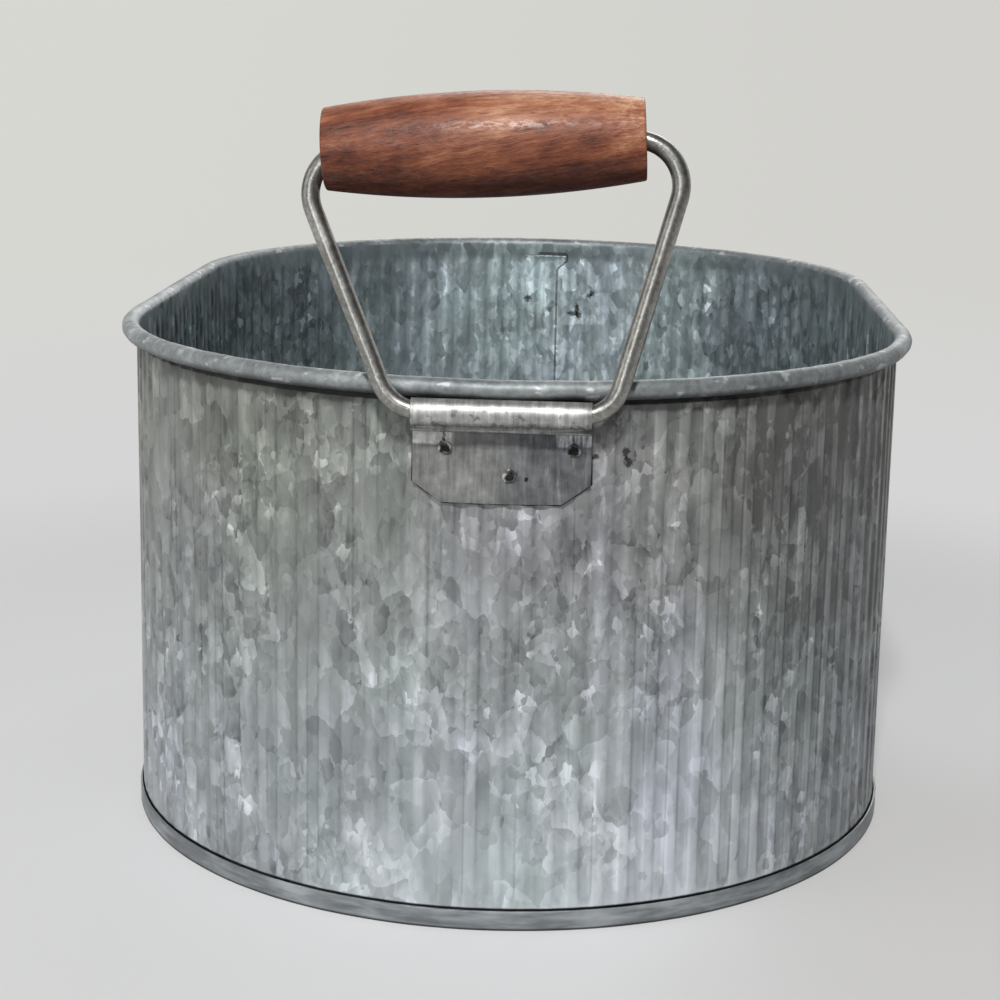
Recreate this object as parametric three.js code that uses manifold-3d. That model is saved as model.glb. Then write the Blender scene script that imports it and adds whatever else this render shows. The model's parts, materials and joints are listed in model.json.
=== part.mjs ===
// Oval galvanised storage caddy: a ribbed sheet tub with a wired rim, a seamed base,
// and at each end a hinge plate that holds a wire bail with a turned wooden grip.
// Millimetres, +Z up. The origin is the middle of the foot's underside.
// The long axis lies along Y. The front handle stands at -Y, the back one hangs at +Y.

import * as THREE from 'three';
import { mergeVertices } from 'three/addons/utils/BufferGeometryUtils.js';
import Module from 'manifold-3d';

const wasm = await Module();
wasm.setup();

// Tub, measured at the middle of the sheet
const tubWidth = 250;
const tubLength = 368;
const tubHeight = 163.3;
const wallSheet = 0.6;

// Ribs pressed into the wall
const ribPitch = 7.5;
const ribDepth = 1;
const ribFadeHeight = 5;
const crestStartShare = 0.1;
const crestEndShare = 0.4;
const valleyStartShare = 0.6;
const valleyEndShare = 0.9;

// Rim curled outward over a wire
const rimRadius = 2.8;
const curlEndAngle = THREE.MathUtils.degToRad(-120);
const rimWireButtGap = 2;

// Base sheet seamed round the wall's lower edge
const baseSheet = 0.6;
const footHeight = 6;
const floorRise = 5;
const footEdgeBevel = 0.4;

// Lap seam inside the back end
const seamShift = 5.3;
const lapWidth = 14;
const seamTabWidth = 4.8;
const seamTabSlope = 3.8;
const seamTabDrop = 6.5;
const seamTopDrop = 1.4;
const seamBite = wallSheet / 2;

// Hinge plates
const plateSheet = 0.7;
const plateWidth = 50;
const plateDrop = 26.6;
const plateChamferWidth = 8;
const plateChamferHeight = 5.5;
const plateJoggle = 0.8;
const sleeveHalfLength = 25;
const sleeveEndAngle = THREE.MathUtils.degToRad(300);
const lipGap = 0.25;
const lipTopDrop = 4;
const lipBottomDrop = 6.3;
const plateBendDrop = 6.8;
const plateBackTopDrop = 0.8;
const frontHandleShift = 1.7;
const backHandleShift = -5;

// Spot welds that hold a hinge plate
const weldRadius = 1.6;
const weldSink = 0.15;
const weldLeft = -15.8;
const weldRight = 20.2;
const weldLow = 2.5;
const weldHighDrop = 11.1;
const weldLowDrop = 18.5;

// Bail, in its own plane, measured along the middle of the wire
const bailWireRadius = 2.6;
const bailBottomHalf = 30.5;
const bailTopHalf = 56.1;
const bailHeight = 74.1;
const bailSkew = THREE.MathUtils.degToRad(3.2);
const bailTopBend = 12.5;
const bailButtGap = 1;

// Turned grip. The inset is the distance from a corner of the bail to the grip's end.
const gripInset = 11.9;
const gripMiddleRadius = 14.6;
const gripEndRadius = 11.3;
const gripEdgeRound = 1.2;
const gripShift = -2.4;

// Clearances
const seatGap = 0.3;
const sleeveGap = 0.45;
const bendGap = 0.1;
const boreGap = 0.45;
const stopGap = 0.3;
const cutOverrun = 2;

// Worked out from the sizes above
const endRadius = tubWidth / 2;
const straightHalf = (tubLength - tubWidth) / 2;
const ribHeight = ribDepth / 2;
const halfWall = wallSheet / 2;
const wallOut = endRadius + ribHeight + halfWall;
const wallIn = endRadius - ribHeight - halfWall;
const perimeter = 2 * Math.PI * endRadius + 4 * straightHalf;
const ribCount = Math.round(perimeter / ribPitch);
const wallFoot = baseSheet + seatGap;
const curlFoot = tubHeight - 2 * rimRadius;
const ribTop = curlFoot - ribFadeHeight;
const rimOffset = endRadius - halfWall + rimRadius;
const rimCentreHeight = tubHeight - rimRadius;
const rimWireRadius = rimRadius - wallSheet - seatGap;

const halfPlate = plateSheet / 2;
const plateOffset = wallOut + seatGap + halfPlate;
const sleeveMiddleRadius = bailWireRadius + sleeveGap + halfPlate;
const sleeveOutRadius = sleeveMiddleRadius + halfPlate;
const sleeveY = -(straightHalf + plateOffset + plateJoggle + sleeveMiddleRadius);
const sleeveClear = rimRadius + sleeveOutRadius + seatGap;
const rimFrontY = -(straightHalf + rimOffset);
const sleeveZ = rimCentreHeight - Math.sqrt(sleeveClear ** 2 - (rimFrontY - sleeveY) ** 2);
const gripLength = 2 * (bailTopHalf - gripInset);

// Materials
function finish(color, roughness, metalness) {
  return new THREE.MeshStandardMaterial({ color, roughness, metalness });
}
const galvanised = finish(0x8d9497, 0.45, 0.85);
const rimGrey = finish(0xa3a8a8, 0.5, 0.8);
const footGrey = finish(0x8b9095, 0.5, 0.8);
const plateSteel = finish(0xa19e99, 0.35, 0.9);
const wireSteel = finish(0x9a958d, 0.3, 0.95);
const weldSteel = finish(0x5c5a58, 0.6, 0.8);
const wood = finish(0x7d4a35, 0.5, 0);

// Geometry helpers

// One closed mesh with shared corners, from any closed geometry
function weld(geometry) {
  const bare = geometry.index ? geometry.clone() : geometry;
  bare.deleteAttribute('normal');
  bare.deleteAttribute('uv');
  return mergeVertices(bare);
}

function toSolid(geometry) {
  const merged = weld(geometry);
  return new wasm.Manifold(new wasm.Mesh({
    numProp: 3,
    vertProperties: new Float32Array(merged.attributes.position.array),
    triVerts: new Uint32Array(merged.index.array),
  }));
}

function fromSolid(solid) {
  const mesh = solid.getMesh();
  const geometry = new THREE.BufferGeometry();
  geometry.setAttribute('position', new THREE.BufferAttribute(new Float32Array(mesh.vertProperties), 3));
  geometry.setIndex(new THREE.BufferAttribute(new Uint32Array(mesh.triVerts), 1));
  return geometry;
}

function fromTriangles(points, triangles) {
  const geometry = new THREE.BufferGeometry();
  geometry.setAttribute('position', new THREE.Float32BufferAttribute(points.flatMap((p) => p.toArray()), 3));
  geometry.setIndex(triangles);
  return geometry;
}

function namedMesh(name, geometry, material) {
  const ready = weld(geometry);
  ready.computeVertexNormals();
  const mesh = new THREE.Mesh(ready, material);
  mesh.name = name;
  return mesh;
}

// The oval path. Arc length runs anticlockwise from the middle of the right side (+X).
// It gives the point and the outward direction in plan.
function ovalAt(length) {
  const arc = Math.PI * endRadius;
  let s = ((length % perimeter) + perimeter) % perimeter;
  if (s < straightHalf) {
    return { x: endRadius, y: s, nx: 1, ny: 0 };
  }
  s -= straightHalf;
  if (s < arc) {
    const turn = s / endRadius;
    const nx = Math.cos(turn);
    const ny = Math.sin(turn);
    return { x: endRadius * nx, y: straightHalf + endRadius * ny, nx, ny };
  }
  s -= arc;
  if (s < 2 * straightHalf) {
    return { x: -endRadius, y: straightHalf - s, nx: -1, ny: 0 };
  }
  s -= 2 * straightHalf;
  if (s < arc) {
    const turn = Math.PI + s / endRadius;
    const nx = Math.cos(turn);
    const ny = Math.sin(turn);
    return { x: endRadius * nx, y: -straightHalf + endRadius * ny, nx, ny };
  }
  s -= arc;
  return { x: endRadius, y: s - straightHalf, nx: 1, ny: 0 };
}

// A point at a distance from the oval's core line and at a height
function ovalPoint(length, offset, z) {
  const at = ovalAt(length);
  const out = offset - endRadius;
  return new THREE.Vector3(at.x + at.nx * out, at.y + at.ny * out, z);
}

// Height of the rib wave at an arc length: flat crests and valleys with straight flanks
function ribWave(length) {
  const phase = (((length * ribCount) / perimeter) % 1 + 1) % 1;
  if (phase < crestStartShare) {
    return ribHeight * (phase + 1 - valleyEndShare) / (crestStartShare + 1 - valleyEndShare) * 2 - ribHeight;
  }
  if (phase <= crestEndShare) return ribHeight;
  if (phase < valleyStartShare) {
    return ribHeight - 2 * ribHeight * (phase - crestEndShare) / (valleyStartShare - crestEndShare);
  }
  if (phase <= valleyEndShare) return -ribHeight;
  return ribHeight * (phase - valleyEndShare) / (crestStartShare + 1 - valleyEndShare) * 2 - ribHeight;
}

// How much of the rib is left at a height: whole below the fade, none at the curl
function ribShare(z) {
  return THREE.MathUtils.clamp((curlFoot - z) / ribFadeHeight, 0, 1);
}

function ribbedPoint(length, offset, z) {
  return ovalPoint(length, offset + ribWave(length) * ribShare(z), z);
}

// Wall sheet with its curled rim and lap seam
const ribLength = perimeter / ribCount;
const fineShares = [crestStartShare, crestEndShare, valleyStartShare, valleyEndShare];
const fineLengths = [];
for (let rib = 0; rib < ribCount; rib += 1) {
  for (const share of fineShares) fineLengths.push((rib + share) * ribLength);
}
const spanLengths = fineLengths.filter((_, i) => i % fineShares.length === 0);

function ringPoints(lengths, offset, z) {
  return lengths.map((length) => ribbedPoint(length, offset, z));
}

// Joins two rings of points; the second may have fewer points than the first
function joinRings(first, second, triangles) {
  const step = first.length / second.length;
  for (let j = 0; j < second.length; j += 1) {
    const next = (j + 1) % second.length;
    const middle = Math.ceil(step / 2);
    for (let k = 0; k < step; k += 1) {
      const a = first.start + j * step + k;
      const b = first.start + (j * step + k + 1) % first.length;
      const tip = second.start + (k < middle ? j : next);
      triangles.push(a, b, tip);
      if (k === middle - 1) triangles.push(b, second.start + next, second.start + j);
    }
  }
}

function addRing(list, points) {
  const ring = { start: list.length, length: points.length };
  list.push(...points);
  return ring;
}

function wallBody() {
  const points = [];
  const triangles = [];
  const outerFoot = addRing(points, ringPoints(fineLengths, endRadius + halfWall, wallFoot));
  const outerTop = addRing(points, ringPoints(fineLengths, endRadius + halfWall, ribTop));
  const innerFoot = addRing(points, ringPoints(fineLengths, endRadius - halfWall, wallFoot));
  const innerTop = addRing(points, ringPoints(fineLengths, endRadius - halfWall, ribTop));

  // The curl's section: up the inside, over the wire and down to the free edge, then back
  const curl = [];
  curl.push([endRadius - halfWall, curlFoot]);
  const outerSteps = 8;
  for (let i = 0; i <= outerSteps; i += 1) {
    const angle = THREE.MathUtils.lerp(Math.PI, curlEndAngle, i / outerSteps);
    curl.push([rimOffset + rimRadius * Math.cos(angle), rimCentreHeight + rimRadius * Math.sin(angle)]);
  }
  const innerSteps = 6;
  const curlIn = rimRadius - wallSheet;
  for (let i = innerSteps; i >= 0; i -= 1) {
    const angle = THREE.MathUtils.lerp(Math.PI, curlEndAngle, i / innerSteps);
    curl.push([rimOffset + curlIn * Math.cos(angle), rimCentreHeight + curlIn * Math.sin(angle)]);
  }
  curl.push([endRadius + halfWall, curlFoot]);

  const curlRings = curl.map(([offset, z]) => addRing(points, ringPoints(spanLengths, offset, z)));
  const flipped = [];
  joinRings(innerTop, curlRings[0], flipped);
  joinRings(innerFoot, innerTop, flipped);
  for (let i = 0; i + 1 < curlRings.length; i += 1) joinRings(curlRings[i], curlRings[i + 1], flipped);
  joinRings(outerFoot, innerFoot, flipped);
  for (let i = 0; i < flipped.length; i += 3) triangles.push(flipped[i], flipped[i + 2], flipped[i + 1]);
  joinRings(outerFoot, outerTop, triangles);
  joinRings(outerTop, curlRings[curlRings.length - 1], triangles);
  return fromTriangles(points, triangles);
}

// A strip of sheet that follows the ribs on the inside of the wall
function wallPatch(lengths, lowZ, topZ) {
  const levels = [lowZ, (s) => Math.max(lowZ(s), Math.min(ribTop, topZ)), () => topZ];
  const points = [];
  const triangles = [];
  const inner = endRadius - halfWall - wallSheet;
  const outer = endRadius - halfWall + seamBite;
  for (const s of lengths) {
    for (const level of levels) {
      points.push(ribbedPoint(s, inner, level(s)));
      points.push(ribbedPoint(s, outer, level(s)));
    }
  }
  const rows = levels.length;
  const index = (i, j, side) => (i * rows + j) * 2 + side;
  const quad = (a, b, c, d) => triangles.push(a, b, c, a, c, d);
  for (let i = 0; i + 1 < lengths.length; i += 1) {
    for (let j = 0; j + 1 < rows; j += 1) {
      quad(index(i, j, 1), index(i + 1, j, 1), index(i + 1, j + 1, 1), index(i, j + 1, 1));
      quad(index(i, j, 0), index(i, j + 1, 0), index(i + 1, j + 1, 0), index(i + 1, j, 0));
    }
    quad(index(i, 0, 0), index(i + 1, 0, 0), index(i + 1, 0, 1), index(i, 0, 1));
    quad(index(i, rows - 1, 0), index(i, rows - 1, 1), index(i + 1, rows - 1, 1), index(i + 1, rows - 1, 0));
  }
  const last = lengths.length - 1;
  for (let j = 0; j + 1 < rows; j += 1) {
    quad(index(0, j, 0), index(0, j, 1), index(0, j + 1, 1), index(0, j + 1, 0));
    quad(index(last, j, 0), index(last, j + 1, 0), index(last, j + 1, 1), index(last, j, 1));
  }
  return fromTriangles(points, triangles);
}

// Arc lengths from one to another, with every bend of the ribs between them
function lengthsBetween(from, to) {
  const inside = fineLengths.filter((s) => s > from && s < to);
  return [from, ...inside, to];
}

function makeWallSheet() {
  const backMiddle = straightHalf + Math.PI * endRadius / 2;
  const edge = backMiddle - seamShift;
  const tabEdge = edge - seamTabWidth;
  const lapTop = curlFoot - seamTopDrop;
  const lapFoot = floorRise + baseSheet + seatGap;
  const tabTop = lapTop - seamTabDrop + seamTabSlope;
  const tabLow = (s) => THREE.MathUtils.mapLinear(s, tabEdge, edge, tabTop, tabTop - seamTabSlope);
  const overlap = seamBite;
  const lap = wallPatch(lengthsBetween(edge, edge + lapWidth), () => lapFoot, lapTop);
  const tab = wallPatch(lengthsBetween(tabEdge, edge + overlap), tabLow, lapTop);
  return fromSolid(toSolid(wallBody()).add(toSolid(lap)).add(toSolid(tab)));
}

// A closed section swept round the oval. The section is a list of [offset, height].
function sweepOval(section, lengths) {
  const points = [];
  const triangles = [];
  const rings = section.map(([offset, z]) => addRing(points, lengths.map((s) => ovalPoint(s, offset, z))));
  for (let i = 0; i + 1 < rings.length; i += 1) joinRings(rings[i], rings[i + 1], triangles);
  const flat = (ring) => lengths.map((s, i) => {
    const p = points[ring.start + i];
    return new THREE.Vector2(p.x, p.y);
  });
  const first = rings[0];
  const final = rings[rings.length - 1];
  for (const [a, b, c] of THREE.ShapeUtils.triangulateShape(flat(first), [])) {
    triangles.push(first.start + a, first.start + c, first.start + b);
  }
  for (const [a, b, c] of THREE.ShapeUtils.triangulateShape(flat(final), [])) {
    triangles.push(final.start + a, final.start + b, final.start + c);
  }
  return fromTriangles(points, triangles);
}

function makeBasePan() {
  const bandIn = wallOut + seatGap;
  const bandOut = bandIn + baseSheet;
  const legOut = wallIn - seatGap;
  const legIn = legOut - baseSheet;
  const section = [
    [legIn, floorRise],
    [legIn, 0],
    [bandOut - footEdgeBevel, 0],
    [bandOut, footEdgeBevel],
    [bandOut, footHeight - footEdgeBevel],
    [bandOut - footEdgeBevel, footHeight],
    [bandIn, footHeight],
    [bandIn, baseSheet],
    [legOut, baseSheet],
    [legOut, floorRise + baseSheet],
  ];
  return sweepOval(section, spanLengths);
}

// A bent wire: the sweep has a ring at each of its points
class BentWire extends THREE.Curve {
  constructor(points) {
    super();
    this.points = points;
  }

  getPoint(t, target = new THREE.Vector3()) {
    const place = t * (this.points.length - 1);
    const i = Math.min(Math.floor(place + Number.EPSILON * this.points.length), this.points.length - 2);
    return target.lerpVectors(this.points[i], this.points[i + 1], place - i);
  }

  getPointAt(u, target) {
    return this.getPoint(u, target);
  }

  getTangent(t, target = new THREE.Vector3()) {
    const i = Math.round(t * (this.points.length - 1));
    const before = this.points[Math.max(i - 1, 0)];
    const after = this.points[Math.min(i + 1, this.points.length - 1)];
    return target.subVectors(after, before).normalize();
  }

  getTangentAt(u, target) {
    return this.getTangent(u, target);
  }
}

function sweepWire(points, radius, sides) {
  const section = new THREE.Shape();
  for (let i = 0; i < sides; i += 1) {
    const angle = (i * 2 * Math.PI) / sides;
    const x = radius * Math.cos(angle);
    const y = radius * Math.sin(angle);
    if (i === 0) section.moveTo(x, y);
    else section.lineTo(x, y);
  }
  section.closePath();
  return new THREE.ExtrudeGeometry(section, {
    steps: points.length - 1,
    extrudePath: new BentWire(points),
    bevelEnabled: false,
  });
}

function makeRimWire() {
  const seamLength = straightHalf + (Math.PI * endRadius) / 2;
  const from = seamLength + rimWireButtGap / 2;
  const to = seamLength + perimeter - rimWireButtGap / 2;
  const inner = spanLengths.concat(spanLengths.map((s) => s + perimeter));
  const run = [from, ...inner.filter((s) => s > from && s < to), to];
  const wireSides = 6;
  return sweepWire(run.map((s) => ovalPoint(s, rimOffset, rimCentreHeight)), rimWireRadius, wireSides);
}

// Bail outline in its plane: x to the right, y up from the hinge axis
function cornerPoints(before, corner, after, radius, steps) {
  const into = new THREE.Vector2().subVectors(before, corner).normalize();
  const out = new THREE.Vector2().subVectors(after, corner).normalize();
  const half = Math.acos(THREE.MathUtils.clamp(into.dot(out), -1, 1)) / 2;
  const reach = radius / Math.tan(half);
  const middle = new THREE.Vector2().addVectors(into, out).normalize().multiplyScalar(radius / Math.sin(half));
  const centre = new THREE.Vector2().addVectors(corner, middle);
  const start = into.multiplyScalar(reach).add(corner).sub(centre);
  const end = out.multiplyScalar(reach).add(corner).sub(centre);
  const turn = Math.atan2(start.cross(end), start.dot(end));
  const zero = new THREE.Vector2();
  const points = [];
  for (let i = 0; i <= steps; i += 1) {
    points.push(start.clone().rotateAround(zero, (turn * i) / steps).add(centre));
  }
  return points;
}

const hingeMiddle = new THREE.Vector2();
const bailCorners = {
  bottomRight: new THREE.Vector2(bailBottomHalf, 0),
  topRight: new THREE.Vector2(bailTopHalf, bailHeight).rotateAround(hingeMiddle, bailSkew),
  topLeft: new THREE.Vector2(-bailTopHalf, bailHeight).rotateAround(hingeMiddle, bailSkew),
  bottomLeft: new THREE.Vector2(-bailBottomHalf, 0),
};

// The lower bends start just inside the sleeve, as deep as its clearance lets them
function lowerBend(corner, upper) {
  const along = new THREE.Vector2(-Math.sign(corner.x), 0);
  const leg = new THREE.Vector2().subVectors(upper, corner).normalize();
  const bendShare = Math.tan(Math.acos(along.dot(leg)) / 2);
  const overhang = bailBottomHalf - sleeveHalfLength;
  const sideways = (sleeveGap - bendGap) * bendShare;
  const depth = sideways + Math.sqrt(sideways ** 2 + 2 * sideways * overhang);
  return (overhang + depth) * bendShare;
}

function bailOutline() {
  const { bottomRight, topRight, topLeft, bottomLeft } = bailCorners;
  const lowerSteps = 6;
  const upperSteps = 9;
  const rightBend = lowerBend(bottomRight, topRight);
  const leftBend = lowerBend(bottomLeft, topLeft);
  return [
    new THREE.Vector2(bailButtGap / 2, 0),
    ...cornerPoints(hingeMiddle, bottomRight, topRight, rightBend, lowerSteps),
    ...cornerPoints(bottomRight, topRight, topLeft, bailTopBend, upperSteps),
    ...cornerPoints(topRight, topLeft, bottomLeft, bailTopBend, upperSteps),
    ...cornerPoints(topLeft, bottomLeft, hingeMiddle, leftBend, lowerSteps),
    new THREE.Vector2(-bailButtGap / 2, 0),
  ];
}

const bailPath = bailOutline();

function makeBailWire() {
  const wireSides = 12;
  return sweepWire(bailPath.map((p) => new THREE.Vector3(p.x, 0, p.y)), bailWireRadius, wireSides);
}

// Grip, turned about X in its own frame, with a bore whose mouths clear the wire's bends
const gripMiddle = new THREE.Vector2(gripShift, bailHeight).rotateAround(hingeMiddle, bailSkew);

function cornerHalfAngle(corner, lower, upper) {
  const down = new THREE.Vector2().subVectors(lower, corner).normalize();
  const across = new THREE.Vector2().subVectors(upper, corner).normalize();
  return Math.acos(down.dot(across)) / 2;
}

const rightHalf = cornerHalfAngle(bailCorners.topRight, bailCorners.bottomRight, bailCorners.topLeft);
const leftHalf = cornerHalfAngle(bailCorners.topLeft, bailCorners.bottomLeft, bailCorners.topRight);
const bendStart = {
  right: bailTopHalf - bailTopBend / Math.tan(rightHalf) - gripShift,
  left: bailTopHalf - bailTopBend / Math.tan(leftHalf) + gripShift,
};

function boreRadius(distance, start) {
  const past = Math.max(distance - start, 0);
  const turn = Math.asin(Math.min(past / bailTopBend, 1));
  const drop = bailTopBend * (1 - Math.cos(turn));
  return drop + bailWireRadius / Math.cos(turn) + boreGap;
}

function makeGrip() {
  const half = gripLength / 2;
  const profile = [];
  const outerSteps = 10;
  for (let i = 0; i <= outerSteps; i += 1) {
    const x = THREE.MathUtils.lerp(-half + gripEdgeRound, half - gripEdgeRound, i / outerSteps);
    const fullness = (x / half) ** 2;
    profile.push(new THREE.Vector2(THREE.MathUtils.lerp(gripMiddleRadius, gripEndRadius, fullness), x));
  }
  profile.push(new THREE.Vector2(gripEndRadius - gripEdgeRound, half));
  const boreSteps = 4;
  const bore = (side, start) => {
    const points = [];
    for (let i = 0; i <= boreSteps; i += 1) {
      const distance = THREE.MathUtils.lerp(half, Math.min(start, half), i / boreSteps);
      points.push(new THREE.Vector2(boreRadius(distance, start), side * distance));
    }
    return points;
  };
  profile.push(...bore(1, bendStart.right));
  profile.push(...bore(-1, bendStart.left).reverse());
  profile.push(new THREE.Vector2(gripEndRadius - gripEdgeRound, -half));
  profile.push(profile[0].clone());
  const gripSides = 24;
  const turned = new THREE.LatheGeometry(profile, gripSides);
  turned.rotateZ(-Math.PI / 2);
  return turned;
}

// Hinge plate at the front end, for a handle whose middle is shifted along X
function plateY(x, offset) {
  return -(straightHalf + Math.sqrt(offset ** 2 - x ** 2));
}

function plateSection(across, shift) {
  const face = plateY(shift + across, plateOffset);
  const corner = Math.max(Math.abs(across) - (plateWidth / 2 - plateChamferWidth), 0) / plateChamferWidth;
  const bottom = sleeveZ - plateDrop + plateChamferHeight * corner;
  const bend = sleeveZ - plateBendDrop;
  const backTop = sleeveZ - plateBackTopDrop;
  const backY = sleeveY + sleeveMiddleRadius;
  const backAt = (z) => THREE.MathUtils.mapLinear(z, bend, backTop, face, backY);
  const lipAt = (z) => backAt(z) - plateSheet - lipGap;
  const section = [
    [face, bottom],
    [face, bend],
    [backY, backTop],
  ];
  const wrapSteps = 12;
  const wrapRadius = sleeveMiddleRadius / Math.cos(sleeveEndAngle / wrapSteps / 2);
  for (let i = 1; i <= wrapSteps; i += 1) {
    const angle = (sleeveEndAngle * i) / wrapSteps;
    section.push([sleeveY + wrapRadius * Math.cos(angle), sleeveZ + wrapRadius * Math.sin(angle)]);
  }
  section.push([lipAt(sleeveZ - lipTopDrop), sleeveZ - lipTopDrop]);
  section.push([lipAt(sleeveZ - lipBottomDrop), sleeveZ - lipBottomDrop]);
  return section.map(([y, z]) => new THREE.Vector2(y, z));
}

// Points on both faces of a bent strip, half a sheet away from its middle line
function sheetFaces(line, half) {
  return line.map((p, i) => {
    const before = line[Math.max(i - 1, 0)];
    const after = line[Math.min(i + 1, line.length - 1)];
    const into = new THREE.Vector2().subVectors(p, before).normalize();
    const out = new THREE.Vector2().subVectors(after, p).normalize();
    const along = new THREE.Vector2().addVectors(into, out).normalize();
    const normal = new THREE.Vector2(-along.y, along.x);
    const stretch = along.dot(out.lengthSq() ? out : into);
    return [
      p.clone().addScaledVector(normal, -half / stretch),
      p.clone().addScaledVector(normal, half / stretch),
    ];
  });
}

function plateBody(shift) {
  const stationCount = 12;
  const chamferStart = plateWidth / 2 - plateChamferWidth;
  const stations = [-plateWidth / 2, -chamferStart];
  for (let i = 1; i < stationCount; i += 1) {
    stations.push(THREE.MathUtils.lerp(-chamferStart, chamferStart, i / stationCount));
  }
  stations.push(chamferStart, plateWidth / 2);
  const points = [];
  let rows = 0;
  for (const across of stations) {
    const faces = sheetFaces(plateSection(across, shift), halfPlate);
    rows = faces.length;
    for (const [a, b] of faces) {
      points.push(new THREE.Vector3(shift + across, a.x, a.y), new THREE.Vector3(shift + across, b.x, b.y));
    }
  }
  const triangles = [];
  const index = (i, j, side) => (i * rows + j) * 2 + side;
  const quad = (a, b, c, d) => triangles.push(a, b, c, a, c, d);
  const last = stations.length - 1;
  for (let i = 0; i < last; i += 1) {
    for (let j = 0; j + 1 < rows; j += 1) {
      quad(index(i, j, 1), index(i + 1, j, 1), index(i + 1, j + 1, 1), index(i, j + 1, 1));
      quad(index(i, j, 0), index(i, j + 1, 0), index(i + 1, j + 1, 0), index(i + 1, j, 0));
    }
    quad(index(i, 0, 0), index(i + 1, 0, 0), index(i + 1, 0, 1), index(i, 0, 1));
    quad(index(i, rows - 1, 0), index(i, rows - 1, 1), index(i + 1, rows - 1, 1), index(i + 1, rows - 1, 0));
  }
  for (let j = 0; j + 1 < rows; j += 1) {
    quad(index(0, j, 0), index(0, j, 1), index(0, j + 1, 1), index(0, j + 1, 0));
    quad(index(last, j, 0), index(last, j + 1, 0), index(last, j + 1, 1), index(last, j, 1));
  }
  return fromTriangles(points, triangles);
}

const weldPlaces = [
  ['left', weldLeft, weldHighDrop],
  ['right', weldRight, weldHighDrop],
  ['low', weldLow, weldLowDrop],
];

// A short cylinder square to the wall, between two distances from the end's centre line
function radialCylinder(radius, from, to, x, z) {
  const sides = 16;
  const geometry = new THREE.CylinderGeometry(radius, radius, to - from, sides);
  geometry.translate(0, -(from + to) / 2, 0);
  geometry.rotateZ(Math.asin(x / plateOffset));
  geometry.translate(0, -straightHalf, z);
  return geometry;
}

function makeHingePlate(shift) {
  let plate = toSolid(plateBody(shift));
  const holeRadius = weldRadius + seatGap;
  for (const [, across, drop] of weldPlaces) {
    const from = plateOffset - halfPlate - cutOverrun;
    const to = plateOffset + halfPlate + cutOverrun;
    plate = plate.subtract(toSolid(radialCylinder(holeRadius, from, to, shift + across, sleeveZ - drop)));
  }
  return fromSolid(plate);
}

function makeWeld(shift, across, drop) {
  const from = wallOut + seatGap;
  const to = plateOffset + halfPlate - weldSink;
  return radialCylinder(weldRadius, from, to, shift + across, sleeveZ - drop);
}

// Where the bail stops, found by halving the range of its swing
function swungPoint(p, shift, swing) {
  return new THREE.Vector3(shift + p.x, sleeveY - p.y * Math.sin(swing), sleeveZ + p.y * Math.cos(swing));
}

function planDistance(p) {
  return Math.hypot(p.x, Math.max(Math.abs(p.y) - straightHalf, 0));
}

function legSamples() {
  const samples = [];
  const perStretch = 24;
  for (let i = 0; i + 1 < bailPath.length; i += 1) {
    for (let k = 0; k <= perStretch; k += 1) {
      samples.push(new THREE.Vector2().lerpVectors(bailPath[i], bailPath[i + 1], k / perStretch));
    }
  }
  return samples;
}

const wireSamples = legSamples();

// Clearance between the wire and the rim, for a bail leaning inward
function rimClearance(shift, swing) {
  let least = Infinity;
  for (const sample of wireSamples) {
    const p = swungPoint(sample, shift, swing);
    const gap = Math.hypot(planDistance(p) - rimOffset, p.z - rimCentreHeight) - rimRadius - bailWireRadius;
    least = Math.min(least, gap);
  }
  return least;
}

// Clearance between the grip and the wall, for a bail hanging down
function wallClearance(shift, swing) {
  const along = new THREE.Vector2(Math.cos(bailSkew), Math.sin(bailSkew));
  const half = gripLength / 2;
  const steps = 40;
  let least = Infinity;
  for (let i = 0; i <= steps; i += 1) {
    const x = THREE.MathUtils.lerp(-half, half, i / steps);
    const radius = THREE.MathUtils.lerp(gripMiddleRadius, gripEndRadius, (x / half) ** 2);
    const p = swungPoint(gripMiddle.clone().addScaledVector(along, x), shift, swing);
    least = Math.min(least, planDistance(p) - wallOut - radius);
  }
  for (const sample of wireSamples) {
    const p = swungPoint(sample, shift, swing);
    if (sample.y > bailWireRadius) least = Math.min(least, planDistance(p) - wallOut - bailWireRadius);
  }
  return least;
}

function stopAngle(clearance, free, blocked) {
  let inside = free;
  let outside = blocked;
  const halvings = 40;
  for (let i = 0; i < halvings; i += 1) {
    const middle = (inside + outside) / 2;
    if (clearance(middle) > stopGap) inside = middle;
    else outside = middle;
  }
  return inside;
}

// One handle in the front end's frame: the plate and its welds, and the bail that swings on it
function makeHandle(prefix, shift, hanging) {
  const handle = new THREE.Group();
  handle.add(namedMesh(`${prefix}_hinge_plate`, makeHingePlate(shift), plateSteel));
  for (const [place, across, drop] of weldPlaces) {
    handle.add(namedMesh(`${prefix}_weld_${place}`, makeWeld(shift, across, drop), weldSteel));
  }
  const quarter = Math.PI / 2;
  const upright = stopAngle((swing) => rimClearance(shift, swing), quarter, -quarter);
  const lowered = stopAngle((swing) => wallClearance(shift, swing), quarter, Math.PI + quarter);
  const bail = new THREE.Group();
  bail.position.set(shift, sleeveY, sleeveZ);
  bail.rotation.x = hanging ? lowered : upright;
  bail.userData.swing = { upright, lowered };
  bail.add(namedMesh(`${prefix}_bail_wire`, makeBailWire(), wireSteel));
  const grip = namedMesh(`${prefix}_grip`, makeGrip(), wood);
  grip.position.set(gripMiddle.x, 0, gripMiddle.y);
  grip.rotation.y = -bailSkew;
  bail.add(grip);
  handle.add(bail);
  return handle;
}

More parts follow.
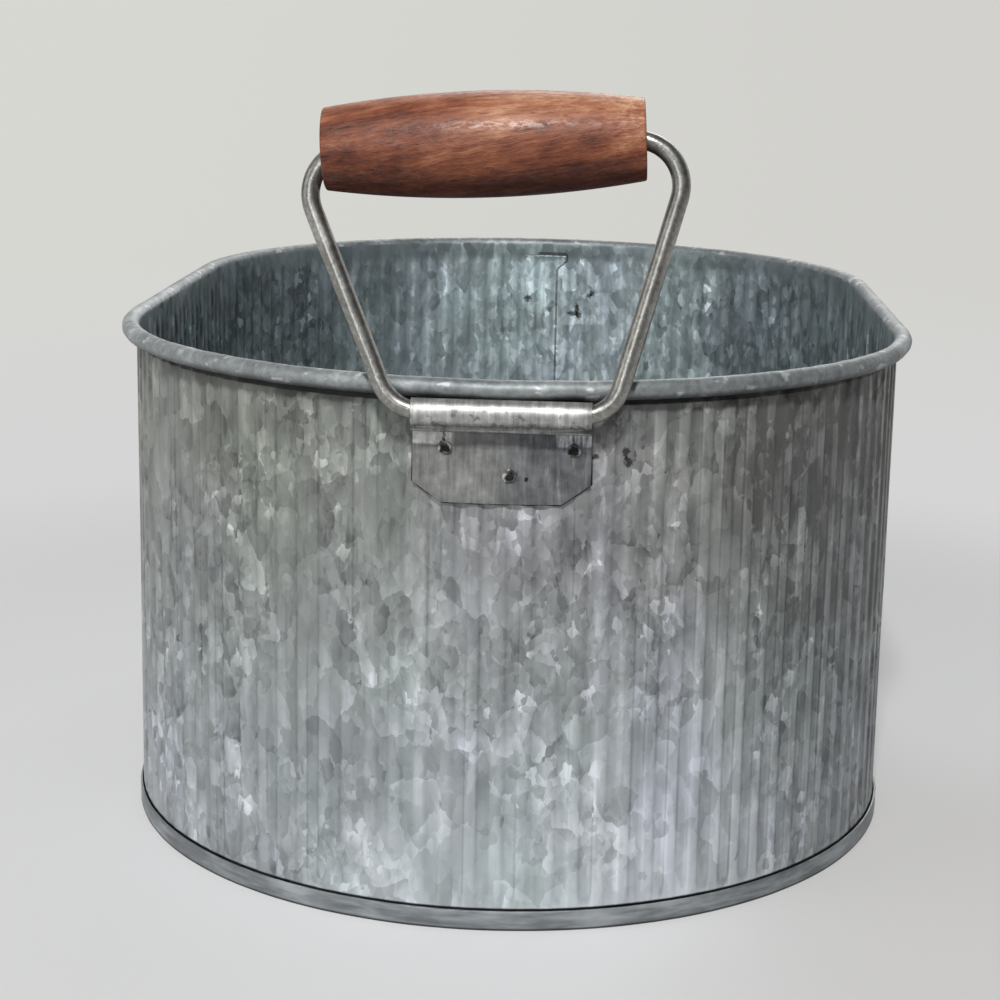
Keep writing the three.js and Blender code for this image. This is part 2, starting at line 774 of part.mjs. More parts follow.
const caddy = new THREE.Group();
caddy.add(namedMesh('wall_sheet', makeWallSheet(), galvanised));
caddy.add(namedMesh('rim_wire', makeRimWire(), rimGrey));
caddy.add(namedMesh('base_pan', makeBasePan(), footGrey));
caddy.add(makeHandle('front', frontHandleShift, false));
const backHandle = makeHandle('back', backHandleShift, true);
backHandle.rotation.z = Math.PI;
caddy.add(backHandle);

export default caddy;
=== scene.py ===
"""Looks of an oval galvanised storage caddy with two wire bails and wooden grips, in metres."""

import json
import math

import bmesh
import bpy
import numpy as np
from mathutils import Matrix, Vector, noise


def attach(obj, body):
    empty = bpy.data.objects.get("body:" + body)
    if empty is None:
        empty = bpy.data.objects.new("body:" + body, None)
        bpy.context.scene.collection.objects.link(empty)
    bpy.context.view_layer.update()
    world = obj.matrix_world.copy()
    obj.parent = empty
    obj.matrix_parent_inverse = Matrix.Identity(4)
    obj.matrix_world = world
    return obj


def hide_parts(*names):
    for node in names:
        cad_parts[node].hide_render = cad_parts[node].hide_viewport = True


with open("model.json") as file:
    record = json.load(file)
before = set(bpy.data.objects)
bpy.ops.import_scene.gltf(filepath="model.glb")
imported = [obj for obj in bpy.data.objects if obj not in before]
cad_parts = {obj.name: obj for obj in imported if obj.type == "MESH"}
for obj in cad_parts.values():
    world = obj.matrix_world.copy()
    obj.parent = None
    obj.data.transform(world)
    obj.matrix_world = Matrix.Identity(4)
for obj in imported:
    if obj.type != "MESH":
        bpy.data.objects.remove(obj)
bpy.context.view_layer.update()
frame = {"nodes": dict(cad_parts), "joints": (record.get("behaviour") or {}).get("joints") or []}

# Tub, measured at the middle of the sheet
TUB_WIDTH = 0.250
TUB_LENGTH = 0.368
TUB_HEIGHT = 0.1633
SHEET = 0.0006
END_RADIUS = TUB_WIDTH / 2
STRAIGHT_HALF = (TUB_LENGTH - TUB_WIDTH) / 2
PERIMETER = 2 * math.pi * END_RADIUS + 4 * STRAIGHT_HALF

# Ribs: their pitch and the room they take come from the CAD, the seen height from the photo
RIB_COUNT = 136
RIB_HEIGHT = 0.0005
SEEN_RIB_HEIGHT = 0.00035
RIB_FADE = 0.005
POINTS_PER_RIB = 10

# Rim curl
RIM_RADIUS = 0.0028
RIM_OFFSET = RIM_RADIUS - SHEET / 2
RIM_HEIGHT = TUB_HEIGHT - RIM_RADIUS
CURL_FOOT = TUB_HEIGHT - 2 * RIM_RADIUS
CURL_END = math.radians(-120)

# Base
SEAT_GAP = 0.0003
BASE_SHEET = 0.0006
FLOOR_RISE = 0.005
FOOT_HEIGHT = 0.006
FOOT_BEVEL = 0.0004
WALL_FOOT = BASE_SHEET + SEAT_GAP
WALL_OUT = RIB_HEIGHT + SHEET / 2
BAND_IN = WALL_OUT + SEAT_GAP
BAND_OUT = BAND_IN + BASE_SHEET

# Lap seam inside the back end: a lap whose upper corner is cut off to a tab, with painted shade for a slot above it
# and two dark lines
SEAM_X = 0.0053
LAP_WIDTH = 0.014
TAB_WIDTH = 0.0048
TAB_SLOPE = 0.0038
TAB_DROP = 0.0065
LAP_TOP = CURL_FOOT - 0.0014
LAP_EDGE = STRAIGHT_HALF + math.pi * END_RADIUS / 2 - SEAM_X
TAB_EDGE = LAP_EDGE - TAB_WIDTH
TAB_TOP = LAP_TOP - TAB_DROP + TAB_SLOPE
SLOT_WIDTH = 0.0082
EDGE_LINE = 0.0008
TAB_LINE = 0.0006

# Hinge plates
PLATE_SHEET = 0.0007
PLATE_WIDTH = 0.050
PLATE_DROP = 0.0266
CHAMFER_WIDTH = 0.008
CHAMFER_HEIGHT = 0.0055
PLATE_JOGGLE = 0.0008
PLATE_EDGE_ROUND = 0.00015
PLATE_WOBBLE = 0.00008
SLEEVE_GAP = 0.00045
SLEEVE_END = math.radians(285)
# The lip that flares out below the sleeve: inward from the wire's middle, and below it
LIP = ((0.00058, 0.0037), (0.00028, 0.0043), (0.00006, 0.0049), (-0.0001, 0.0055))
PLATE_BEND_DROP = 0.0068
PLATE_BACK_DROP = 0.0008
PLATE_OFFSET = WALL_OUT + SEAT_GAP + PLATE_SHEET / 2

# Bails and grips
WIRE_RADIUS = 0.0026
SLEEVE_MIDDLE = WIRE_RADIUS + SLEEVE_GAP + PLATE_SHEET / 2
BAIL_BOTTOM_HALF = 0.0305
BAIL_TOP_HALF = 0.0561
BAIL_HEIGHT = 0.0741
BAIL_SKEW = math.radians(3.2)
BAIL_TOP_BEND = 0.0125
BAIL_BUTT_GAP = 0.001
SLEEVE_HALF = 0.025
GRIP_LENGTH = 0.0884
GRIP_MIDDLE = 0.0146
GRIP_END = 0.0113
GRIP_ROUND = 0.0007
GRIP_SHIFT = -0.0024
BORE_GAP = 0.00045
# The back grip is cut from another piece of wood: its grain is read this far away
OTHER_WOOD = 0.3

# Welds: across the plate, and below the hinge axis
WELDS = {"left": (-0.0158, 0.0111), "right": (0.0202, 0.0111), "low": (0.0025, 0.0185)}
# A weld's crater and ring, from its middle out: (radius, rise above the plate)
WELD_LINE = (
    (0.0, 0.00008), (0.0007, 0.00008), (0.0011, 0.00012), (0.0014, 0.00024),
    (0.0016, 0.00026), (0.0018, 0.00018), (0.0020, 0.00004), (0.0021, -0.0004),
)

# Where the handles sit along X, each seen from its own end
FRONT_SHIFT = 0.0017
BACK_SHIFT = -0.005
SLEEVE_Y = -(STRAIGHT_HALF + END_RADIUS + PLATE_OFFSET + PLATE_JOGGLE + SLEEVE_MIDDLE)
SLEEVE_CLEAR = RIM_RADIUS + SLEEVE_MIDDLE + PLATE_SHEET / 2 + SEAT_GAP
RIM_FRONT_Y = -(STRAIGHT_HALF + END_RADIUS + RIM_OFFSET)
SLEEVE_Z = RIM_HEIGHT - math.sqrt(SLEEVE_CLEAR**2 - (RIM_FRONT_Y - SLEEVE_Y) ** 2)

# Burnt spots on the wall: middle (x, z), width and height
FRONT_SPOTS = (
    (0.0278, 0.1412, 0.0020, 0.0014),
    (0.0364, 0.1424, 0.0022, 0.0030),
    (0.0371, 0.1395, 0.0026, 0.0030),
)
INNER_SPOTS = (
    (-0.0071, 0.1365, 0.0036, 0.0030),
    (0.0205, 0.1385, 0.0024, 0.0022),
    (0.0218, 0.1397, 0.0026, 0.0024),
    (0.0150, 0.1318, 0.0021, 0.0058),
    (0.0127, 0.1302, 0.0042, 0.0022),
    (0.0159, 0.1296, 0.0028, 0.0034),
)


# Node trees


def tone(red, green, blue):
    """A colour as it is read off a screen, 0 to 255, turned linear."""
    shares = (red / 255, green / 255, blue / 255)
    linear = [c / 12.92 if c <= 0.04045 else ((c + 0.055) / 1.055) ** 2.4 for c in shares]
    return (*linear, 1.0)


def grey(level):
    return tone(level, level, level)


def sum_node(operation, flipped=False):
    """A method that puts a value, and what the method is given, into one Math node."""

    def made(self, *others):
        given = (*others, self) if flipped else (self, *others)
        return self.graph.node("ShaderNodeMath", {"operation": operation}, dict(enumerate(given)))[0]

    return made


class Value:
    """A socket that takes part in sums."""

    def __init__(self, graph, socket):
        self.graph = graph
        self.socket = socket

    __add__, __radd__ = sum_node("ADD"), sum_node("ADD", True)
    __sub__, __rsub__ = sum_node("SUBTRACT"), sum_node("SUBTRACT", True)
    __mul__, __rmul__ = sum_node("MULTIPLY"), sum_node("MULTIPLY", True)
    __truediv__, __rtruediv__ = sum_node("DIVIDE"), sum_node("DIVIDE", True)
    __pow__, __abs__ = sum_node("POWER"), sum_node("ABSOLUTE")
    above, below = sum_node("GREATER_THAN"), sum_node("LESS_THAN")
    at_least, at_most = sum_node("MAXIMUM"), sum_node("MINIMUM")
    part, whole = sum_node("FRACT"), sum_node("FLOOR")
    # The angle of a direction, from its Y and its X
    angle = sum_node("ARCTAN2")

    def __neg__(self):
        return self * -1.0

    def ramp(self, start, end, low=0.0, high=1.0):
        """Smoothly from low at start to high at end."""
        settings = {"interpolation_type": "SMOOTHSTEP"}
        values = {"Value": self, "From Min": start, "From Max": end, "To Min": low, "To Max": high}
        return self.graph.node("ShaderNodeMapRange", settings, values)[0]

    def within(self, outer_low, low, high, outer_high):
        """1 from low to high, and smoothly down to 0 at the outer limits."""
        return self.ramp(outer_low, low) * self.ramp(outer_high, high)

    def between(self, low, high):
        """1 from low to high, 0 elsewhere."""
        return self.above(low) * self.below(high)


class Graph:
    """A node tree, shader or geometry, that is filled one node at a time."""

    def __init__(self, tree):
        self.tree = tree

    def node(self, kind, settings=None, values=None):
        made = self.tree.nodes.new(kind)
        for key, setting in (settings or {}).items():
            if key == "stops":
                self._stops(made.color_ramp, setting)
            else:
                setattr(made, key, setting)
        for key, value in (values or {}).items():
            socket = self._socket(made.inputs, key)
            if isinstance(value, Value):
                self.tree.links.new(value.socket, socket)
            else:
                socket.default_value = value
        return Outputs(self, made)

    @staticmethod
    def _stops(ramp, stops):
        while len(ramp.elements) > 1:
            ramp.elements.remove(ramp.elements[-1])
        ramp.elements[0].position, ramp.elements[0].color = stops[0]
        for position, colour in stops[1:]:
            ramp.elements.new(position).color = colour

    @staticmethod
    def _socket(sockets, key):
        if isinstance(key, int):
            return sockets[key]
        named = [s for s in sockets if s.identifier == key] or [s for s in sockets if s.name == key and s.enabled]
        return named[0]

    # Vectors

    def vector(self, operation, *given, scale=None):
        values = dict(enumerate(given))
        if scale is not None:
            values["Scale"] = scale
        return self.node("ShaderNodeVectorMath", {"operation": operation}, values)[0]

    def dot(self, first, second):
        return self.node("ShaderNodeVectorMath", {"operation": "DOT_PRODUCT"}, {0: first, 1: second})["Value"]

    def centred(self, colour):
        """A colour from 0 to 1 as a vector round zero."""
        return self.vector("SUBTRACT", colour, (0.5, 0.5, 0.5))

    def moved(self, place, way, scale):
        """A place moved along a vector."""
        return self.vector("ADD", place, self.vector("SCALE", way, scale=scale))

    def join(self, x, y, z=0.0):
        return self.node("ShaderNodeCombineXYZ", None, {0: x, 1: y, 2: z})[0]

    def split(self, vector):
        parts = self.node("ShaderNodeSeparateXYZ", None, {0: vector})
        return parts[0], parts[1], parts[2]

    def stretch(self, place, by, shift=(0.0, 0.0, 0.0), turn=0.0):
        values = {"Vector": place, "Location": shift, "Rotation": (0.0, 0.0, turn), "Scale": by}
        return self.node("ShaderNodeMapping", None, values)[0]

    # Places that a pattern is read at

    def object_place(self):
        return self.node("ShaderNodeTexCoord")["Object"]

    def read(self, name, part="Fac"):
        return self.node("ShaderNodeAttribute", {"attribute_name": name}, None)[part]

    # Patterns

    def noise(self, place, scale, detail=2.0, rough=0.5, lean=0.0):
        values = {"Vector": place, "Scale": scale, "Detail": detail, "Roughness": rough, "Distortion": lean}
        return self.node("ShaderNodeTexNoise", {"noise_dimensions": "3D"}, values)

    def grain(self, place, scale, detail, rough, wide=1.0, tall=1.0, turn=0.0, lean=0.0):
        """Noise from 0 to 1. A small share in wide or tall draws it out along X or Y."""
        if (wide, tall) != (1.0, 1.0):
            place = self.stretch(place, (wide, tall, 1.0), turn=turn)
        return self.noise(place, scale, detail, rough, lean)["Fac"]

    def cells(self, place, scale, distance):
        settings = {"voronoi_dimensions": "3D", "feature": "F1", "distance": distance}
        return self.node("ShaderNodeTexVoronoi", settings, {"Vector": place, "Scale": scale, "Randomness": 1.0})

    # Colours

    def mix(self, share, first, second, blend="MIX"):
        settings = {"data_type": "RGBA", "blend_type": blend}
        values = {"Factor_Float": share, "A_Color": first, "B_Color": second}
        return self.node("ShaderNodeMix", settings, values)["Result_Color"]

    def tint(self, base, share, *shade):
        """The base seen through a filter of a screen colour, by a share."""
        return self.mix(share, base, self.mix(1.0, base, tone(*shade), "MULTIPLY"))

    def shades(self, value, *stops):
        """A colour for each value. A stop is its value and its screen colour."""
        stops = [(place, tone(*shade)) for place, *shade in stops]
        return self.node("ShaderNodeValToRGB", {"stops": stops}, {0: value})[0]

    # Geometry

    def store(self, geometry, name, value, kind="FLOAT"):
        settings = {"data_type": kind, "domain": "POINT"}
        values = {"Geometry": geometry, "Name": name, "Value": value}
        return self.node("GeometryNodeStoreNamedAttribute", settings, values)["Geometry"]

    def recall(self, name, kind="FLOAT"):
        return self.node("GeometryNodeInputNamedAttribute", {"data_type": kind}, {"Name": name})["Attribute"]

    def give_back(self, geometry, material):
        """Ends a geometry tree: instances made real, the material and the output."""
        whole = self.node("GeometryNodeRealizeInstances", None, {"Geometry": geometry})["Geometry"]
        coated = self.node("GeometryNodeSetMaterial", None, {"Geometry": whole, "Material": material})["Geometry"]
        self.node("NodeGroupOutput", None, {"Mesh": coated})


class Outputs:
    """The outputs of a node, by name, identifier or place."""

    def __init__(self, graph, made):
        self.graph = graph
        self.made = made

    def __getitem__(self, key):
        return Value(self.graph, Graph._socket(self.made.outputs, key))


def emptied(owner):
    """The node tree of a material or a world, without its first nodes."""
    owner.use_nodes = True
    owner.node_tree.nodes.clear()
    return Graph(owner.node_tree)


def surface(name):
    material = bpy.data.materials.new(name)
    return material, emptied(material)


def coat(graph, base, metallic, roughness, bump, faced=None, extra=None):
    """Ends a material: its bump (height, strength, distance), one Principled surface and its output."""
    height, strength, distance = bump
    values = {"Height": height, "Strength": strength, "Distance": distance}
    if faced is not None:
        values["Normal"] = faced
    normal = graph.node("ShaderNodeBump", None, values)[0]
    values = {"Base Color": base, "Metallic": metallic, "Roughness": roughness, "Normal": normal, **(extra or {})}
    shader = graph.node("ShaderNodeBsdfPrincipled", None, values)[0]
    graph.node("ShaderNodeOutputMaterial", None, {"Surface": shader})


# Materials


class SheetPlace:
    """Where a point is: on the rolled-out wall sheet, on which face of it, and in the room."""

    def __init__(self, graph):
        self.along = graph.read("along")
        self.height = graph.read("height")
        self.inside = graph.read("inside")
        self.outside = 1.0 - self.inside
        self.rib = graph.read("rib")
        self.x, self.y, _ = graph.split(graph.object_place())
        # The two faces are read far apart, so that they show different crystals
        self.flat = graph.join(self.along, self.height, self.inside * 0.37)
        # Parts of the wall: the front and back halves, the outside's front end and its right flank
        self.front = self.y.below(0.0) * self.outside
        self.back = self.y.above(0.0)
        self.forward = self.y.ramp(0.0, -0.06) * self.outside
        self.flank = self.x.ramp(0.025, 0.08) * self.outside


class Flakes:
    """One size of zinc crystals with ragged edges: three values from 0 to 1, the same all over each crystal,
    and a painted shade, as on a domed crystal, that leans from one side of the crystal to the other."""

    def __init__(self, graph, place, scale, ragged, turn, distance="MANHATTAN"):
        bend = graph.noise(place, scale * 2.2, 3.0, 0.65)["Color"]
        bent = graph.moved(place, graph.centred(bend), ragged / scale)
        # Each size is shifted by its own amount, so that no two line up
        bent = graph.stretch(bent, (1.0, 1.0, 1.0), (scale / 977, scale / 571, 0.0), turn)
        cell = graph.cells(bent, scale, distance)
        self.colour = cell["Color"]
        self.x, self.y, self.z = graph.split(self.colour)
        across = graph.vector("SUBTRACT", bent, cell["Position"])
        # Painted shade across each crystal, as if it were domed
        self.lean = graph.dot(across, graph.centred(self.colour)) * (2 * scale)


def blot(x, z, spot, ragged):
    """1 inside a ragged spot, 0 outside it. A spot is its middle (x, z), its width and its height."""
    middle_x, middle_z, width, height = spot
    across, up = (x - middle_x) / (width / 2), (z - middle_z) / (height / 2)
    return ((across * across + up * up) ** 0.5 + (ragged - 0.5) * 2.6).ramp(1.25, 0.6)


def plate_painted_shadow(x, z):
    """A painted shadow on the wall: the dark line along a plate's lower edge, its cut corners and its sides."""
    across = abs(x)
    up = z - (SLEEVE_Z - PLATE_DROP)
    slope = CHAMFER_HEIGHT / CHAMFER_WIDTH
    corner = ((across - (PLATE_WIDTH / 2 - CHAMFER_WIDTH)) * slope - up) / math.hypot(1.0, slope)
    beyond = corner.at_least(-up).at_least(across - PLATE_WIDTH / 2)
    # Fainter up the sides, and none behind the sleeve
    faint = up.ramp(CHAMFER_HEIGHT + 0.012, CHAMFER_HEIGHT, 0.35, 1.0) * z.ramp(SLEEVE_Z - 0.002, SLEEVE_Z - 0.004)
    return beyond.ramp(0.0006, 0.0004) * faint


def wall_crystals(graph, at, large, middle, small):
    """Crystals of three sizes. The smaller ones show in busy patches, and in one area right of the middle."""
    busy = graph.grain(at.flat, 26.0, 2.0, 0.5).ramp(0.36, 0.62)
    lively = at.x.within(-0.01, 0.01, 0.05, 0.068) * at.height.within(0.05, 0.07, 0.12, 0.145)
    busy = busy.at_least(lively * at.front)
    # Each crystal's tone, with its painted shade from one side to the other
    level = 0.14 * (large.x - 0.5) + 0.17 * large.lean
    level += (0.19 * (middle.x - 0.5) + 0.22 * middle.lean) * (0.35 + busy * 0.65)
    level += (0.1 * (small.x - 0.5) + 0.15 * small.lean) * busy
    # A few single crystals stand out, light or dark
    level += middle.y.above(0.9) * 0.11
    return level + small.y.above(0.95) * busy * 0.28 - small.z.above(0.972) * busy * 0.14


def wall_streaks(graph, at, patches, smears):
    """Broad patches, upright stripes and smears, which are stronger on the right flank, and dull marks higher up."""
    stripes = graph.grain(at.flat, 110.0, 1.0, 0.5, tall=0.035)
    marks = graph.grain(at.flat, 190.0, 3.0, 0.65, tall=0.2).ramp(0.58, 0.68)
    level = 0.26 * (patches - 0.5) + 0.18 * (stripes - 0.5) + (0.22 + 0.22 * at.flank) * (smears - 0.5)
    return level - marks * at.height.ramp(0.04, 0.13) * at.outside * 0.16


def wall_ribs(graph, at, patches):
    height, flank = at.height, at.flank
    # Each crest and each valley has its own shade, most of all right of the plate
    band = (at.along * (2 * RIB_COUNT / PERIMETER)).whole()
    shade = graph.grain(graph.join(band * 0.731, height), 30.0, 2.0, 0.5)
    uneven = at.x.within(0.02, 0.045, 0.08, 0.105) * (height.ramp(0.05, 0.09) * 0.3 + height.ramp(0.07, 0.12) * 0.6)
    level = (shade - 0.5) * (0.16 + uneven) * at.outside * height.ramp(CURL_FOOT, CURL_FOOT - 0.01)
    # Crests are a little lighter than valleys: painted shade in the valleys, and dust
    level += at.rib * (patches.ramp(0.35, 0.6, 0.07, 0.0) + flank * 0.05) * (1.0 - at.inside * 0.6)
    # Broken dark lines where a rib steps: painted shade on the steps, stronger on the right flank
    step = 1.0 - at.rib * at.rib
    broken = graph.grain(at.flat, 130.0, 2.0, 0.5, tall=0.07).ramp(0.5, 0.62)
    broken = broken * (1.0 - flank * 0.4) + flank * 0.4
    ribbed = height.ramp(CURL_FOOT, CURL_FOOT - RIB_FADE)
    return level - step * step * step * ribbed * broken * (0.14 + flank * 0.2) * at.outside


def wall_patches_and_painted_light(at, small):
    """Which parts of the wall are painted lighter or darker as the light falls, with two darker patches and more
    small crystals inside.
    """
    x, height = at.x, at.height
    # Outside, the lower part is painted lighter and the top darker, as the light falls, but the right flank's foot is
    # not
    outer = height.ramp(0.0, 0.15, 0.18, -0.14) - x.ramp(0.095, 0.115) * height.ramp(0.06, 0.0) * 0.12
    # On the front, painted light low in the middle, and painted shade on the flanks
    front = height.ramp(0.12, 0.0) * x.within(-0.07, 0.02, 0.06, 0.11) * (0.12 + x.ramp(0.0, 0.03) * 0.12)
    front -= x.ramp(0.055, 0.1) * 0.19 + x.within(-0.12, -0.09, -0.05, -0.02) * 0.06
    # Two patches high up are darker, one on each side of the plate
    front -= height.ramp(0.085, 0.125) * x.within(0.060, 0.070, 0.088, 0.098) * 0.13
    front -= height.ramp(0.125, 0.145) * x.within(-0.075, -0.06, -0.045, -0.03) * 0.1
    # Painted shadow of the wire's bends on the wall, one on each side of the plate
    painted_wire_shadow = abs(x - FRONT_SHIFT).within(0.0225, 0.0245, 0.030, 0.0365)
    front -= painted_wire_shadow * height.ramp(0.138, 0.147) * x.ramp(-0.01, 0.01, 0.24, 0.12)
    # Inside, the back end is painted lighter and the sides painted darker, as the light falls, and more small
    # crystals show
    inner = at.back * abs(x).ramp(0.09, 0.02) * 0.19 - abs(x).ramp(0.05, 0.11) * 0.24 - x.ramp(-0.06, -0.12) * 0.08
    inner += 0.16 * (small.x - 0.5) + small.y.above(0.93) * 0.14
    return at.outside * outer + at.forward * front + at.inside * inner


def wall_colour(graph, at, level):
    """The zinc's colour for each level, greenish or bluish in patches."""
    x, height = at.x, at.height
    duller = (0.05, 96, 99, 99), (0.35, 140, 144, 144), (0.55, 165, 169, 169)
    base = graph.shades(level, *duller, (0.75, 192, 196, 198), (1.0, 232, 235, 238))
    hue = graph.grain(at.flat, 24.0, 3.0, 0.6, tall=0.5)
    base = graph.tint(base, hue.ramp(0.48, 0.66) * 0.45, 241, 250, 245)
    base = graph.tint(base, hue.ramp(0.5, 0.36) * 0.45, 243, 243, 255)
    warm = height.ramp(0.05, 0.15) * (x.ramp(0.0, -0.08, 0.45, 0.95) + at.flank * 0.4) * at.outside
    base = graph.tint(base, warm, 255, 254, 242)
    cool = height.ramp(0.15, 0.03) * abs(x).ramp(0.125, 0.09, 0.3, 1.0) * at.outside
    base = graph.tint(base, cool, 249, 252, 255)
    rosy = height.ramp(0.06, 0.12) * x.ramp(-0.045, 0.01) * at.outside
    base = graph.tint(base, rosy, 254, 250, 254)
    return graph.tint(base, at.inside, 234, 246, 250)


def wall_burns_and_painted_shade(graph, at):
    """How dark each place is: burnt by a weld, or painted shade in the seam's gaps and by the rim, the foot and the
    plates.
    """
    x, along, height = at.x, at.along, at.height
    ragged = graph.grain(at.flat, 900.0, 3.0, 0.65)
    back_inside = at.back * at.inside
    burnt = 0.0
    for spots, side in ((FRONT_SPOTS, at.front), (INNER_SPOTS, back_inside)):
        for spot in spots:
            burnt = blot(x, height, spot, ragged) * side + burnt
    # Painted shade in the seam: along its edge, the side of its cut corner, and the slot above it
    gaps = along.between(LAP_EDGE - EDGE_LINE, LAP_EDGE + 0.0001) * height.below(LAP_TOP - TAB_DROP)
    gaps += along.between(TAB_EDGE - TAB_LINE, TAB_EDGE) * height.between(TAB_TOP, LAP_TOP + 0.0005)
    slot = along.between(TAB_EDGE, LAP_EDGE + SLOT_WIDTH) * height.between(LAP_TOP - 0.0003, CURL_FOOT - 0.0002)
    # Painted shadow round the front plate and the back one
    plates = plate_painted_shadow(x - FRONT_SHIFT, height) * at.front
    plates += plate_painted_shadow(x + BACK_SHIFT, height) * at.back * at.outside
    # A sharp painted dark line under the rim and over the foot, and below the rim a soft painted shadow, which on the
    # front is deeper left of the plate and fainter right of it
    shade = x.ramp(-0.02, -0.045) * 0.2 - x.within(0.02, 0.035, 0.055, 0.068) * 0.22
    shade = height.ramp(CURL_FOOT - 0.0068, CURL_FOOT - 0.0012) * (0.3 + at.forward * shade)
    lines = height.ramp(CURL_FOOT - 0.0023, CURL_FOOT - 0.0015)
    lines += height.ramp(FOOT_HEIGHT + 0.0009, FOOT_HEIGHT + 0.0004)
    # All the painted shade together
    painted_shade = plates + (lines + shade) * at.outside + (gaps + slot) * back_inside * 0.6
    return (painted_shade + burnt * 0.85).at_most(1.0)


def galvanised_wall():
    material, graph = surface("galvanised_wall")
    at = SheetPlace(graph)
    place = graph.stretch(at.flat, (1.0, 0.64, 1.0))
    large = Flakes(graph, place, 84.0, 0.22, 0.5)
    middle = Flakes(graph, place, 170.0, 0.3, 0.9)
    small = Flakes(graph, place, 400.0, 0.35, -0.3)
    patches = graph.grain(at.flat, 13.0, 3.0, 0.55)
    smears = graph.grain(at.flat, 240.0, 3.0, 0.6, tall=0.09)
    level = 0.5 + wall_crystals(graph, at, large, middle, small) + wall_streaks(graph, at, patches, smears)
    level += wall_ribs(graph, at, patches) + wall_patches_and_painted_light(at, small)
    # Inside, the sheet is dark and smooth just under the rim
    smooth_top = at.inside * at.height.ramp(CURL_FOOT - 0.0055, CURL_FOOT - 0.001)
    level = level * (1.0 - smooth_top * 0.85) + smooth_top * 0.24
    # The wall's colour, darkened by burnt spots and by painted shade
    base = graph.mix(wall_burns_and_painted_shade(graph, at), wall_colour(graph, at, level), tone(22, 22, 21))
    rough = 0.46 + 0.12 * (large.z - 0.5) + 0.1 * (middle.z - 0.5)
    # Each crystal faces its own way
    tilt = graph.moved(graph.vector("SCALE", middle.colour, scale=0.6), small.colour, 0.4)
    faced = graph.moved(graph.node("ShaderNodeNewGeometry")["Normal"], graph.centred(tilt), 0.4)
    faced = graph.vector("NORMALIZE", faced)
    coat(graph, base, 0.45, rough, (smears + middle.z * 0.5, 0.25, 0.0003), faced)
    return material


def dull_rim():
    material, graph = surface("dull_rim")
    height = graph.read("height")
    place = graph.object_place()
    x, y, _ = graph.split(place)
    soft = graph.grain(place, 60.0, 3.0, 0.6)
    specks = graph.grain(place, 420.0, 4.0, 0.7)
    flecks = graph.grain(graph.join(graph.read("along"), height), 330.0, 2.0, 0.5, wide=0.45).ramp(0.6, 0.7)
    level = 0.35 + 0.9 * (soft - 0.5) + 0.85 * (specks - 0.5) + flecks * 0.38
    # The front's left end is painted brighter, as lit from the left, and its right part painted duller, as in shade
    level += y.ramp(0.02, -0.02) * (x.ramp(-0.08, -0.12) - x.within(0.06, 0.085, 0.108, 0.12)) * 0.16
    base = graph.shades(level, (0.15, 116, 121, 122), (0.45, 150, 155, 156), (0.8, 206, 209, 212))
    # Painted shade on the curl's underside
    base = graph.mix(height.ramp(RIM_HEIGHT - 0.0004, CURL_FOOT + 0.0002) * 0.65, base, tone(40, 41, 41))
    coat(graph, base, 0.5, 0.54 + 0.1 * (soft - 0.5), (specks + soft, 0.25, 0.0003))
    return material


def plain_steel(name, dark, light, roughness):
    material, graph = surface(name)
    place = graph.object_place()
    fine = graph.grain(place, 260.0, 4.0, 0.65)
    wide = graph.grain(place, 260.0 / 9, 2.0, 0.5)
    base = graph.mix((fine * 0.6 + wide * 0.4).ramp(0.3, 0.7), dark, light)
    coat(graph, base, 0.9, roughness + 0.2 * (wide - 0.5), (fine, 0.2, 0.0002))
    return material


def foot_steel():
    """The smooth band of the foot, streaked along its length, with a painted contact shadow at its lower edge."""
    material, graph = surface("foot_steel")
    height = graph.read("height")
    flat = graph.join(graph.read("along"), height)
    streaks = graph.grain(flat, 420.0, 3.0, 0.6, wide=0.12)
    soft = graph.grain(flat, 90.0, 3.0, 0.6, wide=0.5)
    level = 0.57 + 0.85 * (streaks - 0.5) + 0.8 * (soft - 0.5)
    base = graph.shades(level, (0.2, 92, 97, 100), (0.5, 128, 133, 136), (0.8, 176, 181, 185))
    # Painted contact shadow along the lower edge
    base = graph.mix(height.ramp(0.0011, 0.0004) * 0.85, base, tone(28, 29, 30))
    coat(graph, base, 0.55, 0.48 + 0.2 * (soft - 0.5), (streaks, 0.2, 0.0002))
    return material


def tub_floor():
    """The floor sheet inside, with the same kind of zinc crystals as the wall, dulled by use."""
    material, graph = surface("tub_floor")
    x, y, _ = graph.split(graph.object_place())
    flat = graph.join(x, y, 0.61)
    large = Flakes(graph, flat, 80.0, 0.5, 0.5)
    small = Flakes(graph, flat, 230.0, 0.8, 0.2, "EUCLIDEAN")
    wide = graph.grain(flat, 18.0, 3.0, 0.6)
    rubbed = graph.grain(flat, 190.0, 3.0, 0.6, tall=0.12, turn=0.5)
    # Crystal tones, each with a painted shade from one side to the other
    level = 0.46 + 0.2 * (large.x - 0.5) + 0.2 * large.lean + 0.16 * (small.x - 0.5) + 0.2 * small.lean
    level += 0.3 * (wide - 0.5) + 0.2 * (rubbed - 0.5) + small.y.above(0.93) * 0.14
    base = graph.shades(level, (0.1, 88, 95, 98), (0.4, 122, 130, 133), (0.6, 148, 156, 160), (0.9, 200, 207, 212))
    rough = 0.44 + 0.14 * (large.z - 0.5) + 0.1 * (small.z - 0.5)
    coat(graph, base, 0.45, rough, (rubbed + small.z * 0.4, 0.25, 0.0003))
    return material


